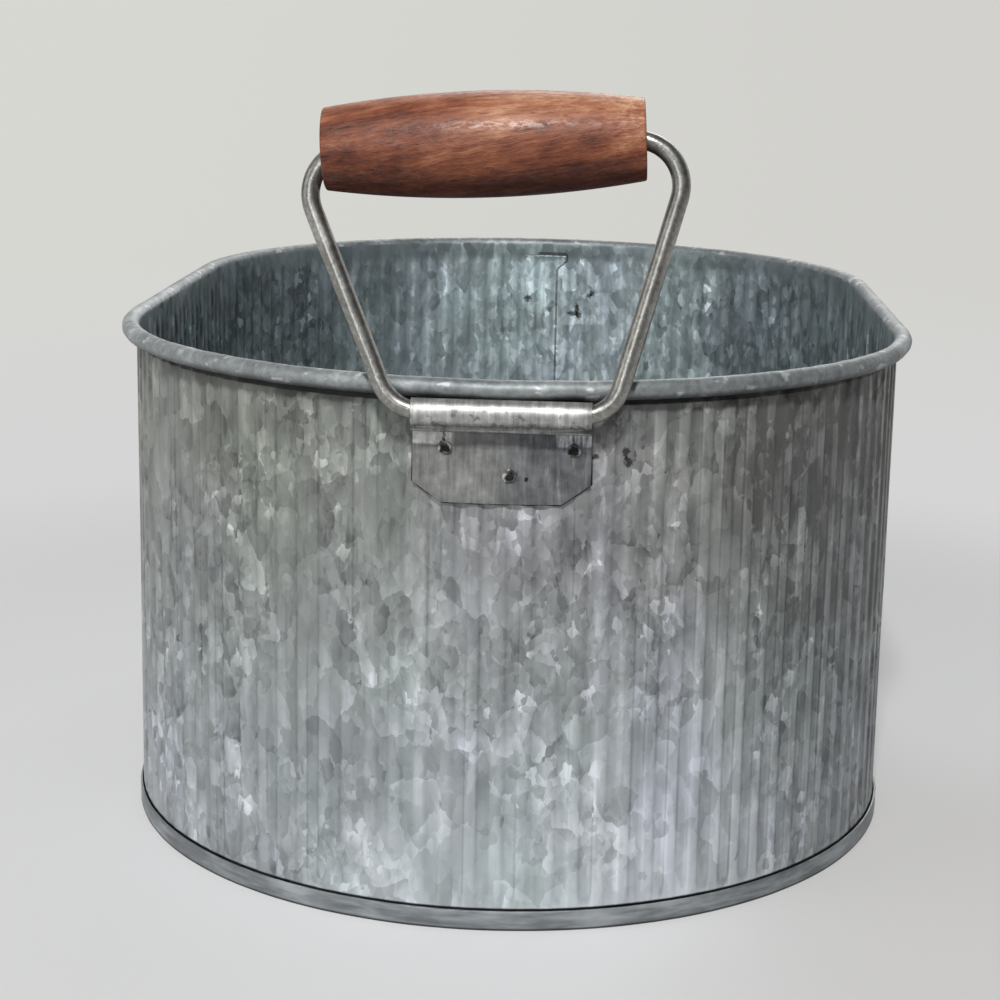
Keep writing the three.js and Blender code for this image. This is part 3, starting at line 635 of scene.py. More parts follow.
def turned_wood():
    """Oiled reddish wood, its grain along the grip and slanted a little."""
    material, graph = surface("turned_wood")
    place = graph.read("grip_place", "Vector")
    across, deep, up = graph.split(place)
    slanted = graph.join(across, deep, up - across * 0.14)
    warp = graph.noise(place, 45.0, 2.0, 0.5)["Color"]
    swayed = graph.moved(slanted, graph.centred(warp), 0.004)
    fibres = graph.grain(swayed, 1100.0, 4.0, 0.7, wide=0.05)
    bands = graph.grain(swayed, 210.0, 3.0, 0.6, wide=0.1, lean=0.4)
    pores = graph.grain(swayed, 2000.0, 2.0, 0.5, wide=0.07)
    wide = graph.grain(place, 26.0, 2.0, 0.5)
    scuffs = graph.grain(place, 900.0, 3.0, 0.7, wide=0.5)
    mottled = graph.grain(slanted, 260.0, 4.0, 0.7, wide=0.35)
    level = 0.49 + 0.42 * (fibres - 0.5) + 0.65 * (bands - 0.5) + 0.6 * (wide - 0.5) + 0.75 * (mottled - 0.5)
    level -= pores.ramp(0.56, 0.68) * 0.14
    # The top's right part a little paler, and the top painted lighter, as lit from above
    level += across.ramp(-0.036, 0.01) * up.ramp(-0.002, 0.008) * 0.05 + up.ramp(0.003, 0.0125) * 0.2
    # Paler where it is worn at one end, and painted darker underneath, as in shade
    wear_and_painted_light = across.ramp(0.026, 0.043) * up.ramp(-0.009, 0.006, 0.3, 1.0)
    level += wear_and_painted_light * (0.08 + scuffs.ramp(0.46, 0.66) * 0.22) - up.ramp(-0.003, -0.011) * 0.15
    stops = (0.12, 50, 25, 16), (0.36, 96, 50, 34), (0.55, 132, 76, 52), (0.75, 166, 112, 84), (0.95, 200, 156, 124)
    rough = 0.52 + 0.3 * (fibres - 0.5) + 0.3 * (scuffs - 0.5)
    # A thin coat of oil, thicker on the scuffed parts
    oil = {"Specular IOR Level": 0.3, "Coat Weight": 0.17 * scuffs.ramp(0.42, 0.6, 0.05, 2.4), "Coat Roughness": 0.3}
    bump = (fibres + pores * 0.4 + scuffs * 1.2, 0.6, 0.0003)
    coat(graph, graph.shades(level, *stops), 0.0, rough, bump, extra=oil)
    return material


def bright_plate():
    """Bright strip metal with fine scratches up the sheet. A place on it is read across the plate, up from the
    hinge axis, and along the sheet from the plate's lower edge."""
    material, graph = surface("bright_plate")
    across, drop, run = graph.split(graph.read("plate_place", "Vector"))
    flat = graph.join(across, run)
    fine = graph.grain(flat, 1300.0, 3.0, 0.65, tall=0.045)
    lines = graph.grain(flat, 520.0, 2.0, 0.6, tall=0.16)
    wide = graph.grain(flat, 95.0, 2.0, 0.5)
    blotches = graph.grain(flat, 260.0, 3.0, 0.6)
    rolled = run.ramp(0.0262, 0.0268)
    lower = 1.0 - rolled
    level = 0.43 + 0.35 * (fine - 0.5) + 0.5 * (lines - 0.5) + 0.5 * (wide - 0.5) + 0.6 * (blotches - 0.5)
    # The rolled sleeve is brighter, the flat part's right half darker
    level += rolled * 0.27 - lower * across.ramp(-0.006, 0.012) * 0.1 - run.ramp(0.0436, 0.0441) * 0.1
    # Dirt on the rolled edge, in places
    smudge = graph.grain(flat, 330.0, 3.0, 0.65, tall=0.7).ramp(0.54, 0.64)
    level -= smudge * run.ramp(0.034, 0.038) * 0.3
    # Under the lip the sheet is painted darker, as in the sleeve's shadow, with two patches of painted light where
    # light falls past the lip
    wear_and_painted_light = across.ramp(-0.0128, -0.0145) + across.ramp(0.0122, 0.016) * lines.ramp(0.44, 0.6)
    wear_and_painted_light = drop.ramp(-0.0106, -0.0097) * wear_and_painted_light * (0.42 + 0.6 * (blotches - 0.5)) - drop.ramp(-0.0113, -0.0104) * 0.1
    level += lower * (wear_and_painted_light + across.ramp(0.009, 0.015) * lines.above(0.6) * 0.12)
    duller = (0.1, 84, 85, 85), (0.36, 122, 123, 121), (0.56, 148, 149, 146)
    base = graph.shades(level, *duller, (0.78, 190, 190, 187), (1.0, 230, 230, 227))
    base = graph.tint(base, lower * across.ramp(-0.004, 0.008) * 0.7, 238, 240, 254)
    # One dark spot, dirt that ran down from the lip to the two upper welds, a burnt ring round each weld, and painted
    # shade on the lip's lower edge
    ragged = graph.grain(flat, 900.0, 3.0, 0.6)
    dark = blot(across, drop, (0.0070, -0.0193, 0.0013, 0.0013), ragged)
    for side in ("left", "right"):
        x, weld_drop = WELDS[side]
        dark += blot(across, drop, (x - 0.0003, 0.0035 - weld_drop, 0.0009, 0.0075), ragged) * 0.7
    for x, weld_drop in WELDS.values():
        dark += blot(across, drop, (x, -weld_drop, 0.0056, 0.0046), ragged) * 0.3
    dark = dark * lower + run.ramp(0.0454, 0.0458) * 0.5
    base = graph.mix(dark.at_most(1.0), base, tone(30, 29, 28))
    rough = 0.45 + 0.25 * (lines - 0.5) + rolled * 0.04
    coat(graph, base, 0.5 + rolled * 0.35, rough, (fine + lines, 0.3, 0.0002))
    return material


def drawn_wire():
    """Plain drawn wire: smooth, with soft patches and fine specks."""
    material, graph = surface("drawn_wire")
    place = graph.object_place()
    soft = graph.grain(place, 110.0, 3.0, 0.6)
    specks = graph.grain(place, 900.0, 2.0, 0.5)
    level = 0.5 + 0.5 * (soft - 0.5) + 0.45 * (specks - 0.5)
    base = graph.shades(level, (0.25, 106, 105, 102), (0.5, 148, 147, 143), (0.75, 198, 196, 191))
    coat(graph, base, 0.9, 0.34 + 0.14 * (soft - 0.5), (specks, 0.16, 0.0002))
    return material


def weld_pit():
    """A burnt pit with a ragged edge and a brighter ring, by the distance from its middle."""
    material, graph = surface("weld_pit")
    place = graph.object_place()
    ragged = graph.grain(place, 620.0, 4.0, 0.65)
    broad = graph.grain(place, 330.0, 1.0, 0.5)
    edge = (graph.read("reach") + (ragged - 0.5) * 0.0034).ramp(0.0010, 0.0017)
    pit = graph.mix(ragged.ramp(0.4, 0.7), tone(12, 12, 12), tone(44, 42, 40))
    ring = graph.mix(broad.ramp(0.44, 0.6), tone(84, 82, 82), tone(186, 184, 181))
    coat(graph, graph.mix(edge, pit, ring), 0.6, 0.5, (ragged, 0.4, 0.0003))
    return material


WALL = galvanised_wall()
RIM = dull_rim()
BASE = foot_steel()
FLOOR = tub_floor()
PLATE = bright_plate()
WIRE = drawn_wire()
WELD = weld_pit()
# Cut edges: bare steel, painted dark for the shade along the seam's edges
CUT_EDGE = plain_steel("cut_edge", tone(36, 39, 41), tone(62, 66, 69), 0.6)
WOOD = turned_wood()
RIM_WIRE = plain_steel("rim_wire_steel", tone(90, 92, 92), tone(130, 132, 132), 0.5)


# The oval and its ribs


def oval(along, offset, height):
    """A point at a length along the oval, anticlockwise from the middle of the right side."""
    radius = END_RADIUS + offset
    half = PERIMETER / 2
    # The second half is the first one turned round
    side = 1.0 if along % PERIMETER < half else -1.0
    s = along % half
    turn = (s - STRAIGHT_HALF) / END_RADIUS
    if turn < 0.0:
        x, y = radius, s
    elif turn < math.pi:
        x, y = radius * math.cos(turn), STRAIGHT_HALF + radius * math.sin(turn)
    else:
        x, y = -radius, half - s
    return Vector((side * x, side * y, height))


def rib_wave(along):
    """From 1 on a rib's crest to -1 in the valley beside it."""
    phase = (along * RIB_COUNT / PERIMETER) % 1.0
    side = abs(((phase - 0.25) % 1.0) - 0.5)
    return max(-1.0, min(1.0, (side - 0.25) * 10.0))


def rib_at(along, height):
    """A rib's rise at a place on the wall. The ribs run out under the rim and are pressed flat at the foot."""
    top = max(0.0, min(1.0, (CURL_FOOT - height) / RIB_FADE))
    foot = max(0.0, min(1.0, (height - FOOT_HEIGHT) / RIB_FADE))
    return rib_wave(along) * top * foot + 1.0 - foot


# Meshes and pieces


def spaced(first, last, count):
    """A number of values at even steps, both ends included."""
    return [first + (last - first) * i / (count - 1) for i in range(count)]


def skin(shape, rows, wrap=False, flipped=False):
    """Four-sided faces between each row of points and the next. A wrapped row closes on itself."""
    for first, second in zip(rows, rows[1:]):
        count = len(first)
        for i in range(count if wrap else count - 1):
            j = (i + 1) % count
            if flipped:
                shape.faces.new((first[i], first[j], second[j], second[i]))
            else:
                shape.faces.new((first[i], second[i], second[j], first[j]))


def mesh_from(name, shape):
    """The mesh of a finished shape."""
    mesh = bpy.data.meshes.new(name)
    shape.to_mesh(mesh)
    shape.free()
    return mesh


def line_mesh(name, points, closed=False):
    mesh = bpy.data.meshes.new(name)
    edges = [(i, i + 1) for i in range(len(points) - 1)]
    if closed:
        edges.append((len(points) - 1, 0))
    mesh.from_pydata([tuple(p) for p in points], edges, [])
    return mesh


def outward_mesh(mesh):
    """Merges doubles and turns all faces outwards."""
    shape = bmesh.new()
    shape.from_mesh(mesh)
    bmesh.ops.remove_doubles(shape, verts=shape.verts, dist=1e-7)
    bmesh.ops.recalc_face_normals(shape, faces=shape.faces)
    shape.to_mesh(mesh)
    shape.free()
    return mesh


def keep_values(mesh, name, values, kind="FLOAT"):
    """Stores one number or vector for each point of a mesh."""
    stored = mesh.attributes.new(name, kind, "POINT")
    field = "vector" if kind == "FLOAT_VECTOR" else "value"
    stored.data.foreach_set(field, np.asarray(values, np.float32).ravel())


def kept_values(mesh, name):
    """The numbers that are stored for the points of a mesh."""
    values = np.zeros(len(mesh.vertices), np.float32)
    mesh.attributes[name].data.foreach_get("value", values)
    return values


def smooth(mesh, angle=None):
    mesh.shade_smooth()
    if angle is not None:
        mesh.set_sharp_from_angle(angle=angle)


def add_object(name, data):
    made = bpy.data.objects.new(name, data)
    bpy.context.scene.collection.objects.link(made)
    return made


def add_piece(name, mesh, material, body, replaced=None):
    """Puts a mesh in the scene as a piece that rides on a body. Without a material, the mesh keeps its own."""
    piece = add_object(name, mesh)
    if material is not None:
        mesh.materials.append(material)
    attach(piece, body)
    if replaced is not None:
        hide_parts(replaced)
    return piece


def thicken(piece, thickness):
    """Gives a piece made of single faces the thickness of its sheet, half to each side."""
    thick = piece.modifiers.new("thickness", "SOLIDIFY")
    thick.thickness = thickness
    thick.offset = 0.0
    return thick


# Geometry Nodes: a section swept round the oval


def new_tree(name, first, floats, whole):
    """A tree with a geometry input, numbers with their usual values, a material and a mesh to give back."""
    tree = bpy.data.node_groups.new(name, "GeometryNodeTree")
    face = tree.interface
    face.new_socket(first, in_out="INPUT", socket_type="NodeSocketGeometry")
    for kind, numbers in (("NodeSocketFloat", floats), ("NodeSocketInt", whole)):
        for label, value in numbers.items():
            face.new_socket(label, in_out="INPUT", socket_type=kind).default_value = value
    face.new_socket("Material", in_out="INPUT", socket_type="NodeSocketMaterial")
    face.new_socket("Mesh", in_out="OUTPUT", socket_type="NodeSocketGeometry")
    return tree


def run_tree(name, tree, base_mesh, inputs):
    """Runs a tree on a mesh and gives the plain mesh that comes out."""
    holder = add_object(name, base_mesh)
    modifier = holder.modifiers.new(name, "NODES")
    modifier.node_group = tree
    for item in tree.interface.items_tree:
        if item.item_type == "SOCKET" and item.in_out == "INPUT" and item.name in inputs:
            modifier[item.identifier] = inputs[item.name]
    bpy.context.view_layer.update()
    evaluated = holder.evaluated_get(bpy.context.evaluated_depsgraph_get())
    mesh = bpy.data.meshes.new_from_object(evaluated)
    holder.modifiers.remove(modifier)
    bpy.data.objects.remove(holder)
    mesh.name = name
    return mesh


def oval_sweep_tree():
    """Sweeps the object's own outline round the oval, with ribs, dents and a material.
    The outline's X is the distance outward from the middle of the sheet, its Z the height."""
    floats = {
        "Width": TUB_WIDTH, "Length": TUB_LENGTH, "Rib Height": 0.0, "Rib Fade Top": CURL_FOOT,
        "Rib Fade Foot": FOOT_HEIGHT, "Rib Fade": RIB_FADE, "Dent Depth": 0.0, "Dent Scale": 20.0, "Rim Dent": 0.0,
    }
    whole = {"Rib Count": RIB_COUNT, "Points": RIB_COUNT * POINTS_PER_RIB, "Seed": 3}
    tree = new_tree("oval_sweep", "Outline", floats, whole)
    graph = Graph(tree)
    given = graph.node("NodeGroupInput")

    # The path
    values = {"Width": given["Width"], "Height": given["Length"]}
    box = graph.node("GeometryNodeCurvePrimitiveQuadrilateral", {"mode": "RECTANGLE"}, values)["Curve"]
    radius = given["Width"] * 0.5
    values = {"Curve": box, "Count": 180, "Radius": radius}
    rounded = graph.node("GeometryNodeFilletCurve", {"mode": "POLY"}, values)["Curve"]
    even = graph.node("GeometryNodeResampleCurve", None, {"Curve": rounded, "Count": given["Points"]})["Curve"]
    place = graph.node("GeometryNodeInputPosition")["Position"]
    path = graph.store(even, "path", place, "FLOAT_VECTOR")

    # The outline
    outline = graph.node("GeometryNodeMeshToCurve", None, {"Mesh": given["Outline"]})["Curve"]
    outline = graph.store(outline, "section", place, "FLOAT_VECTOR")
    swept = graph.node("GeometryNodeCurveToMesh", None, {"Curve": path, "Profile Curve": outline})["Mesh"]

    # Where each point of the path is: the outward direction and the length along
    way = graph.recall("path", "FLOAT_VECTOR")
    x, y, _ = graph.split(way)
    half = (given["Length"] - given["Width"]) * 0.5
    core_y = y.at_least(-half).at_most(half)
    out = graph.vector("NORMALIZE", graph.join(x, y - core_y))
    beyond = abs((y - core_y).angle(x)) * radius
    left = 1.0 - x.above(0.0)
    quarter = abs(core_y) * (1.0 - left) + half * left + beyond + left * (half - abs(core_y))
    upper = y.above(0.0)
    perimeter = radius * (2 * math.pi) + half * 4.0
    along = quarter * upper + (perimeter - quarter) * (1.0 - upper)

    # Ribs, as in rib_at, with softer steps
    section_x, _, section_z = graph.split(graph.recall("section", "FLOAT_VECTOR"))
    phase = (along * given["Rib Count"] / perimeter - 0.25 + 1.0).part()
    wave = ((abs(phase - 0.5) - 0.25) * 10.0).at_most(1.0).at_least(-1.0)
    wave = wave * (1.5 - 0.5 * wave * wave)
    share = ((given["Rib Fade Top"] - section_z) / given["Rib Fade"]).at_most(1.0).at_least(0.0)
    pressed = ((section_z - given["Rib Fade Foot"]) / given["Rib Fade"]).at_most(1.0).at_least(0.0)
    rib = wave * share * pressed + (1.0 - pressed)

    # Dents, and a rim that isn't quite even
    here = graph.moved(graph.join(0.0, y, section_z + given["Seed"] * 1.7), out, given["Width"])
    dent = graph.grain(here, given["Dent Scale"], 2.0, 0.5) - 0.5
    knock = graph.noise(here, given["Dent Scale"] * 5.0, 2.0, 0.5)["Color"]
    knock_x, knock_y, _ = graph.split(knock)
    knocked = section_z.ramp(CURL_FOOT - 0.004, CURL_FOOT) * given["Rim Dent"] * 2.0
    reach = section_x + rib * given["Rib Height"] + dent * given["Dent Depth"] * 2.0 + (knock_x - 0.5) * knocked
    lift = section_z + (knock_y - 0.5) * knocked
    spot = graph.vector("ADD", graph.moved(way, out, reach), graph.join(0.0, 0.0, lift))
    moved = graph.node("GeometryNodeSetPosition", None, {"Geometry": swept, "Position": spot})["Geometry"]

    for name, value in (("along", along), ("height", section_z), ("rib", rib)):
        moved = graph.store(moved, name, value)
    graph.give_back(moved, given["Material"])
    return tree


OVAL_SWEEP = oval_sweep_tree()


# Wall, foot and floor


def wall_outline():
    """Up the outside, round the curl's inner face, back over its outer face and down the inside. A point is
    (outward, height, 1 on the inside)."""
    heights = [WALL_FOOT, FOOT_HEIGHT, FOOT_HEIGHT + RIB_FADE / 2]
    heights += spaced(FOOT_HEIGHT + RIB_FADE, CURL_FOOT - RIB_FADE, 9)
    heights += [CURL_FOOT - RIB_FADE + RIB_FADE * share for share in (0.33, 0.66, 1.0)]

    def curl(radius, turn):
        return RIM_OFFSET + radius * math.cos(turn), RIM_HEIGHT + radius * math.sin(turn)

    line = [(SHEET / 2, z, 0.0) for z in heights]
    line += [(*curl(RIM_RADIUS - SHEET, turn), 0.0) for turn in spaced(math.pi, CURL_END, 10)]
    # The end of the way back, where the curl still faces inwards, counts as inside
    turns = spaced(CURL_END, math.pi, 17)
    line += [(*curl(RIM_RADIUS, turn), 1.0 if i > 12 else 0.0) for i, turn in enumerate(turns)]
    return line + [(-SHEET / 2, z, 1.0) for z in reversed(heights)]


def make_wall():
    outline = wall_outline()
    line = line_mesh("wall_outline", [(x, 0.0, z) for x, z, _ in outline], True)
    keep_values(line, "inside", [face for _, _, face in outline])
    inputs = {
        "Rib Height": SEEN_RIB_HEIGHT, "Dent Depth": 0.0003, "Dent Scale": 16.0, "Rim Dent": 0.0002, "Material": WALL,
    }
    mesh = outward_mesh(run_tree("ribbed_wall", OVAL_SWEEP, line, inputs))
    smooth(mesh, math.radians(50))
    add_piece("ribbed_wall", mesh, None, "tub", "wall_sheet")
    # The rim has its own material, all but the part of it that faces the inside
    mesh.materials.append(RIM)
    heights, faces = kept_values(mesh, "height"), kept_values(mesh, "inside")
    for polygon in mesh.polygons:
        corners = list(polygon.vertices)
        on_inside = faces[corners].min() > 0.5 and heights[corners].max() < TUB_HEIGHT - 0.0015
        if heights[corners].min() > CURL_FOOT - 1e-5 and not on_inside:
            polygon.material_index = 1


def make_foot():
    """The base sheet: a leg down from the floor, out under the wall and up round it as a band."""
    soft = FOOT_BEVEL * 0.3
    outline = [
        (-BAND_OUT, 0.0), (-BAND_OUT, FLOOR_RISE), (-BAND_OUT, FLOOR_RISE + BASE_SHEET),
        (-BAND_IN, FLOOR_RISE + BASE_SHEET), (-BAND_IN, BASE_SHEET), (BAND_IN, BASE_SHEET), (BAND_IN, FOOT_HEIGHT),
        (BAND_OUT - FOOT_BEVEL, FOOT_HEIGHT), (BAND_OUT - soft, FOOT_HEIGHT - soft),
        (BAND_OUT, FOOT_HEIGHT - FOOT_BEVEL), (BAND_OUT, FOOT_HEIGHT * 0.5), (BAND_OUT, FOOT_BEVEL),
        (BAND_OUT - soft, soft), (BAND_OUT - FOOT_BEVEL, 0.0),
    ]
    line = line_mesh("foot_outline", [(x, 0.0, z) for x, z in outline], True)
    inputs = {"Dent Depth": 0.00015, "Dent Scale": 30.0, "Points": 720, "Seed": 8, "Material": BASE}
    mesh = outward_mesh(run_tree("foot_band", OVAL_SWEEP, line, inputs))
    smooth(mesh, math.radians(40))
    add_piece("foot_band", mesh, None, "tub", "base_pan")


def make_floor():
    """The floor sheet, a flat oval plate with closed sides."""
    shape = bmesh.new()
    edge = -(BAND_IN + BASE_SHEET / 2)
    count = 240
    low, high = (
        [shape.verts.new(oval(PERIMETER * i / count, edge, height)) for i in range(count)]
        for height in (FLOOR_RISE, FLOOR_RISE + BASE_SHEET)
    )
    shape.faces.new(reversed(low))
    shape.faces.new(high)
    skin(shape, (low, high), wrap=True, flipped=True)
    add_piece("floor_sheet", mesh_from("floor_sheet", shape), FLOOR, "tub")


make_wall()
make_foot()
make_floor()


# Hinge plates


def plate_line(across, shift):
    """The plate's middle line at one place across it: from its lower edge up, round the wire and down to the lip."""
    face = -(STRAIGHT_HALF + math.sqrt((END_RADIUS + PLATE_OFFSET) ** 2 - (shift + across) ** 2))
    corner = max(abs(across) - (PLATE_WIDTH / 2 - CHAMFER_WIDTH), 0) / CHAMFER_WIDTH
    bottom = SLEEVE_Z - PLATE_DROP + CHAMFER_HEIGHT * corner
    bend, top = SLEEVE_Z - PLATE_BEND_DROP, SLEEVE_Z - PLATE_BACK_DROP
    back = SLEEVE_Y + SLEEVE_MIDDLE
    line = [(face, z) for z in spaced(bottom, bend, 9)]
    for share in spaced(0.0, 1.0, 6)[1:]:
        eased = share * share * (3 - 2 * share)
        line.append((face + (back - face) * eased, bend + (top - bend) * share))
    for turn in spaced(0.0, SLEEVE_END, 31)[1:]:
        line.append((SLEEVE_Y + SLEEVE_MIDDLE * math.cos(turn), SLEEVE_Z + SLEEVE_MIDDLE * math.sin(turn)))
    return line + [(SLEEVE_Y + inward, SLEEVE_Z - drop) for inward, drop in LIP]


def make_plate(name, shift, flip, replaced):
    """A bent sheet, built at the front end and turned round for the back one."""
    edge = PLATE_WIDTH / 2
    inner = edge - CHAMFER_WIDTH
    columns = [-edge, -edge + CHAMFER_WIDTH / 2, *spaced(-inner, inner, 23), edge - CHAMFER_WIDTH / 2, edge]
    shape = bmesh.new()
    grid, own = [], []
    for across in columns:
        row, run, last = [], 0.0, None
        for y, z in plate_line(across, shift):
            wobble = noise.noise(Vector((across * 90, z * 120, 4.0 + flip))) * PLATE_WOBBLE
            row.append(shape.verts.new((shift + across, y - wobble, z)))
            run = SLEEVE_Z - z if last is None else run - math.hypot(y - last[0], z - last[1])
            last = (y, z)
            own.append((across, z - SLEEVE_Z, PLATE_DROP - run))
        grid.append(row)
    skin(shape, grid)
    if flip:
        bmesh.ops.rotate(shape, verts=shape.verts, cent=(0, 0, 0), matrix=Matrix.Rotation(math.pi, 3, "Z"))
    mesh = mesh_from(name, shape)
    keep_values(mesh, "plate_place", own, "FLOAT_VECTOR")
    smooth(mesh)
    plate = add_piece(name, mesh, PLATE, "tub", replaced)
    thicken(plate, PLATE_SHEET)
    round_edge = plate.modifiers.new("edges", "BEVEL")
    round_edge.width = PLATE_EDGE_ROUND
    round_edge.segments = 2
    round_edge.limit_method = "ANGLE"
    round_edge.angle_limit = math.radians(50)


def make_weld(name, shift, across, drop, flip, replaced):
    """A spot weld: a shallow crater with a raised ring, square to the wall."""
    sides = 28
    shape = bmesh.new()
    rings = []
    for radius, rise in WELD_LINE[1:]:
        ring = []
        for i in range(sides):
            turn = 2 * math.pi * i / sides
            c, s = math.cos(turn), math.sin(turn)
            uneven = 1 + 0.3 * noise.noise(Vector((c * 1.3, s * 1.3, across * 900 + flip * 7)))
            ring.append(shape.verts.new((radius * uneven * c, radius * uneven * s, rise)))
        rings.append(ring)
    middle = shape.verts.new((0.0, 0.0, WELD_LINE[0][1]))
    for i in range(sides):
        shape.faces.new((middle, rings[0][i], rings[0][(i + 1) % sides]))
    skin(shape, rings, wrap=True)
    shape.faces.new(rings[-1])
    bmesh.ops.recalc_face_normals(shape, faces=shape.faces)
    reach = [math.hypot(v.co.x, v.co.y) for v in shape.verts]
    # Stood up, set against the plate and turned to the wall's own direction there
    radius = END_RADIUS + PLATE_OFFSET + PLATE_SHEET / 2
    lean = math.asin((shift + across) / radius)
    place = Matrix.Translation((0, -radius, 0)) @ Matrix.Rotation(math.radians(90), 4, "X")
    place = Matrix.Translation((0, -STRAIGHT_HALF, SLEEVE_Z - drop)) @ Matrix.Rotation(lean, 4, "Z") @ place
    if flip:
        place = Matrix.Rotation(math.pi, 4, "Z") @ place
    bmesh.ops.transform(shape, matrix=place, verts=shape.verts)
    mesh = mesh_from(name, shape)
    keep_values(mesh, "reach", reach)
    smooth(mesh)
    add_piece(name, mesh, WELD, "tub", replaced)


for end, shift, flip in (("front", FRONT_SHIFT, 0), ("back", BACK_SHIFT, 1)):
    make_plate(f"{end}_plate", shift, flip, f"{end}_hinge_plate")
    for place, (across, drop) in WELDS.items():
        make_weld(f"{end}_weld_mark_{place}", shift, across, drop, flip, f"{end}_weld_{place}")


# Bails and grips


def rounded_corner(before, corner, after, radius, steps):
    into, out = (before - corner).normalized(), (after - corner).normalized()
    half = math.acos(max(-1.0, min(1.0, into.dot(out)))) / 2
    centre = corner + (into + out).normalized() * (radius / math.sin(half))
    start = corner + into * (radius / math.tan(half)) - centre
    end = corner + out * (radius / math.tan(half)) - centre
    whole_turn = math.atan2(start.x * end.y - start.y * end.x, start.dot(end))
    points = []
    for turn in spaced(0.0, whole_turn, steps + 1):
        c, s = math.cos(turn), math.sin(turn)
        points.append(centre + Vector((start.x * c - start.y * s, start.x * s + start.y * c)))
    return points


def skewed(x, y):
    """A point of the bail's plane, turned by the bail's skew."""
    c, s = math.cos(BAIL_SKEW), math.sin(BAIL_SKEW)
    return Vector((x * c - y * s, x * s + y * c))


BOTTOM_RIGHT, BOTTOM_LEFT = Vector((BAIL_BOTTOM_HALF, 0.0)), Vector((-BAIL_BOTTOM_HALF, 0.0))
TOP_RIGHT, TOP_LEFT = skewed(BAIL_TOP_HALF, BAIL_HEIGHT), skewed(-BAIL_TOP_HALF, BAIL_HEIGHT)


def lower_bend(corner, upper):
    """The radius of a lower bend, so that the wire just clears the sleeve's end."""
    along = Vector((-math.copysign(1.0, corner.x), 0.0))
    share = math.tan(math.acos(along.dot((upper - corner).normalized())) / 2)
    overhang = BAIL_BOTTOM_HALF - SLEEVE_HALF
    sideways = (SLEEVE_GAP - 0.0001) * share
    return (overhang + sideways + math.sqrt(sideways**2 + 2 * sideways * overhang)) * share


def bail_line():
    """The wire's middle line, from one butt end inside the sleeve round to the other."""
    middle = Vector((0.0, 0.0))
    line = [Vector((BAIL_BUTT_GAP / 2, 0.0))]
    line += rounded_corner(middle, BOTTOM_RIGHT, TOP_RIGHT, lower_bend(BOTTOM_RIGHT, TOP_RIGHT), 16)
    line += rounded_corner(BOTTOM_RIGHT, TOP_RIGHT, TOP_LEFT, BAIL_TOP_BEND, 22)
    line += rounded_corner(TOP_RIGHT, TOP_LEFT, BOTTOM_LEFT, BAIL_TOP_BEND, 22)
    line += rounded_corner(TOP_LEFT, BOTTOM_LEFT, middle, lower_bend(BOTTOM_LEFT, TOP_LEFT), 16)
    line.append(Vector((-BAIL_BUTT_GAP / 2, 0.0)))
    return line


def wire_tree():
    """Wire of one thickness along the object's own line of points."""
    tree = new_tree("bent_wire", "Line", {"Radius": WIRE_RADIUS, "Spacing": 0.0012}, {"Sides": 28})
    graph = Graph(tree)
    given = graph.node("NodeGroupInput")
    line = graph.node("GeometryNodeMeshToCurve", None, {"Mesh": given["Line"]})["Curve"]
    values = {"Curve": line, "Length": given["Spacing"]}
    even = graph.node("GeometryNodeResampleCurve", {"mode": "LENGTH"}, values)["Curve"]
    values = {"Resolution": given["Sides"], "Radius": given["Radius"]}
    ring = graph.node("GeometryNodeCurvePrimitiveCircle", None, values)["Curve"]
    values = {"Curve": even, "Profile Curve": ring, "Fill Caps": True}
    graph.give_back(graph.node("GeometryNodeCurveToMesh", None, values)["Mesh"], given["Material"])
    return tree


BENT_WIRE = wire_tree()


def bail_place(end):
    """How a bail stands at rest: its own plane's X and Z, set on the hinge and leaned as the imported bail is."""
    hinge, centre = (
        Vector(next(joint["pos_m"] for joint in frame["joints"] if joint["name"] == name))
        for name in (f"{end}_bail_swing", f"{end}_grip_spin")
    )
    up = centre - hinge
    up.x = 0.0
    up.normalize()
    right = Vector((-1.0 if end == "back" else 1.0, 0.0, 0.0))
    turn = Matrix((right, up.cross(right), up)).transposed().to_4x4()
    return Matrix.Translation(hinge) @ turn


def make_bail(end):
    place = bail_place(end)
    line = line_mesh(f"{end}_bail_line", [place @ Vector((p.x, 0.0, p.y)) for p in bail_line()])
    mesh = outward_mesh(run_tree(f"{end}_bail", BENT_WIRE, line, {"Material": WIRE}))
    smooth(mesh, math.radians(50))
    add_piece(f"{end}_bail", mesh, None, f"{end}_bail", f"{end}_bail_wire")


def bore_radius(distance, start):
    """How wide the bore has to be at a distance along the grip, where the wire's bend starts inside it."""
    turn = math.asin(min(max(distance - start, 0.0) / BAIL_TOP_BEND, 1.0))
    return BAIL_TOP_BEND * (1 - math.cos(turn)) + WIRE_RADIUS / math.cos(turn) + BORE_GAP


def bend_starts():
    """Where the wire's bends start, to the right and to the left of the grip's middle."""

    def half_angle(corner, lower, upper):
        return math.acos((lower - corner).normalized().dot((upper - corner).normalized())) / 2

    right = BAIL_TOP_BEND / math.tan(half_angle(TOP_RIGHT, BOTTOM_RIGHT, TOP_LEFT))
    left = BAIL_TOP_BEND / math.tan(half_angle(TOP_LEFT, BOTTOM_LEFT, TOP_RIGHT))
    return BAIL_TOP_HALF - right - GRIP_SHIFT, BAIL_TOP_HALF - left + GRIP_SHIFT


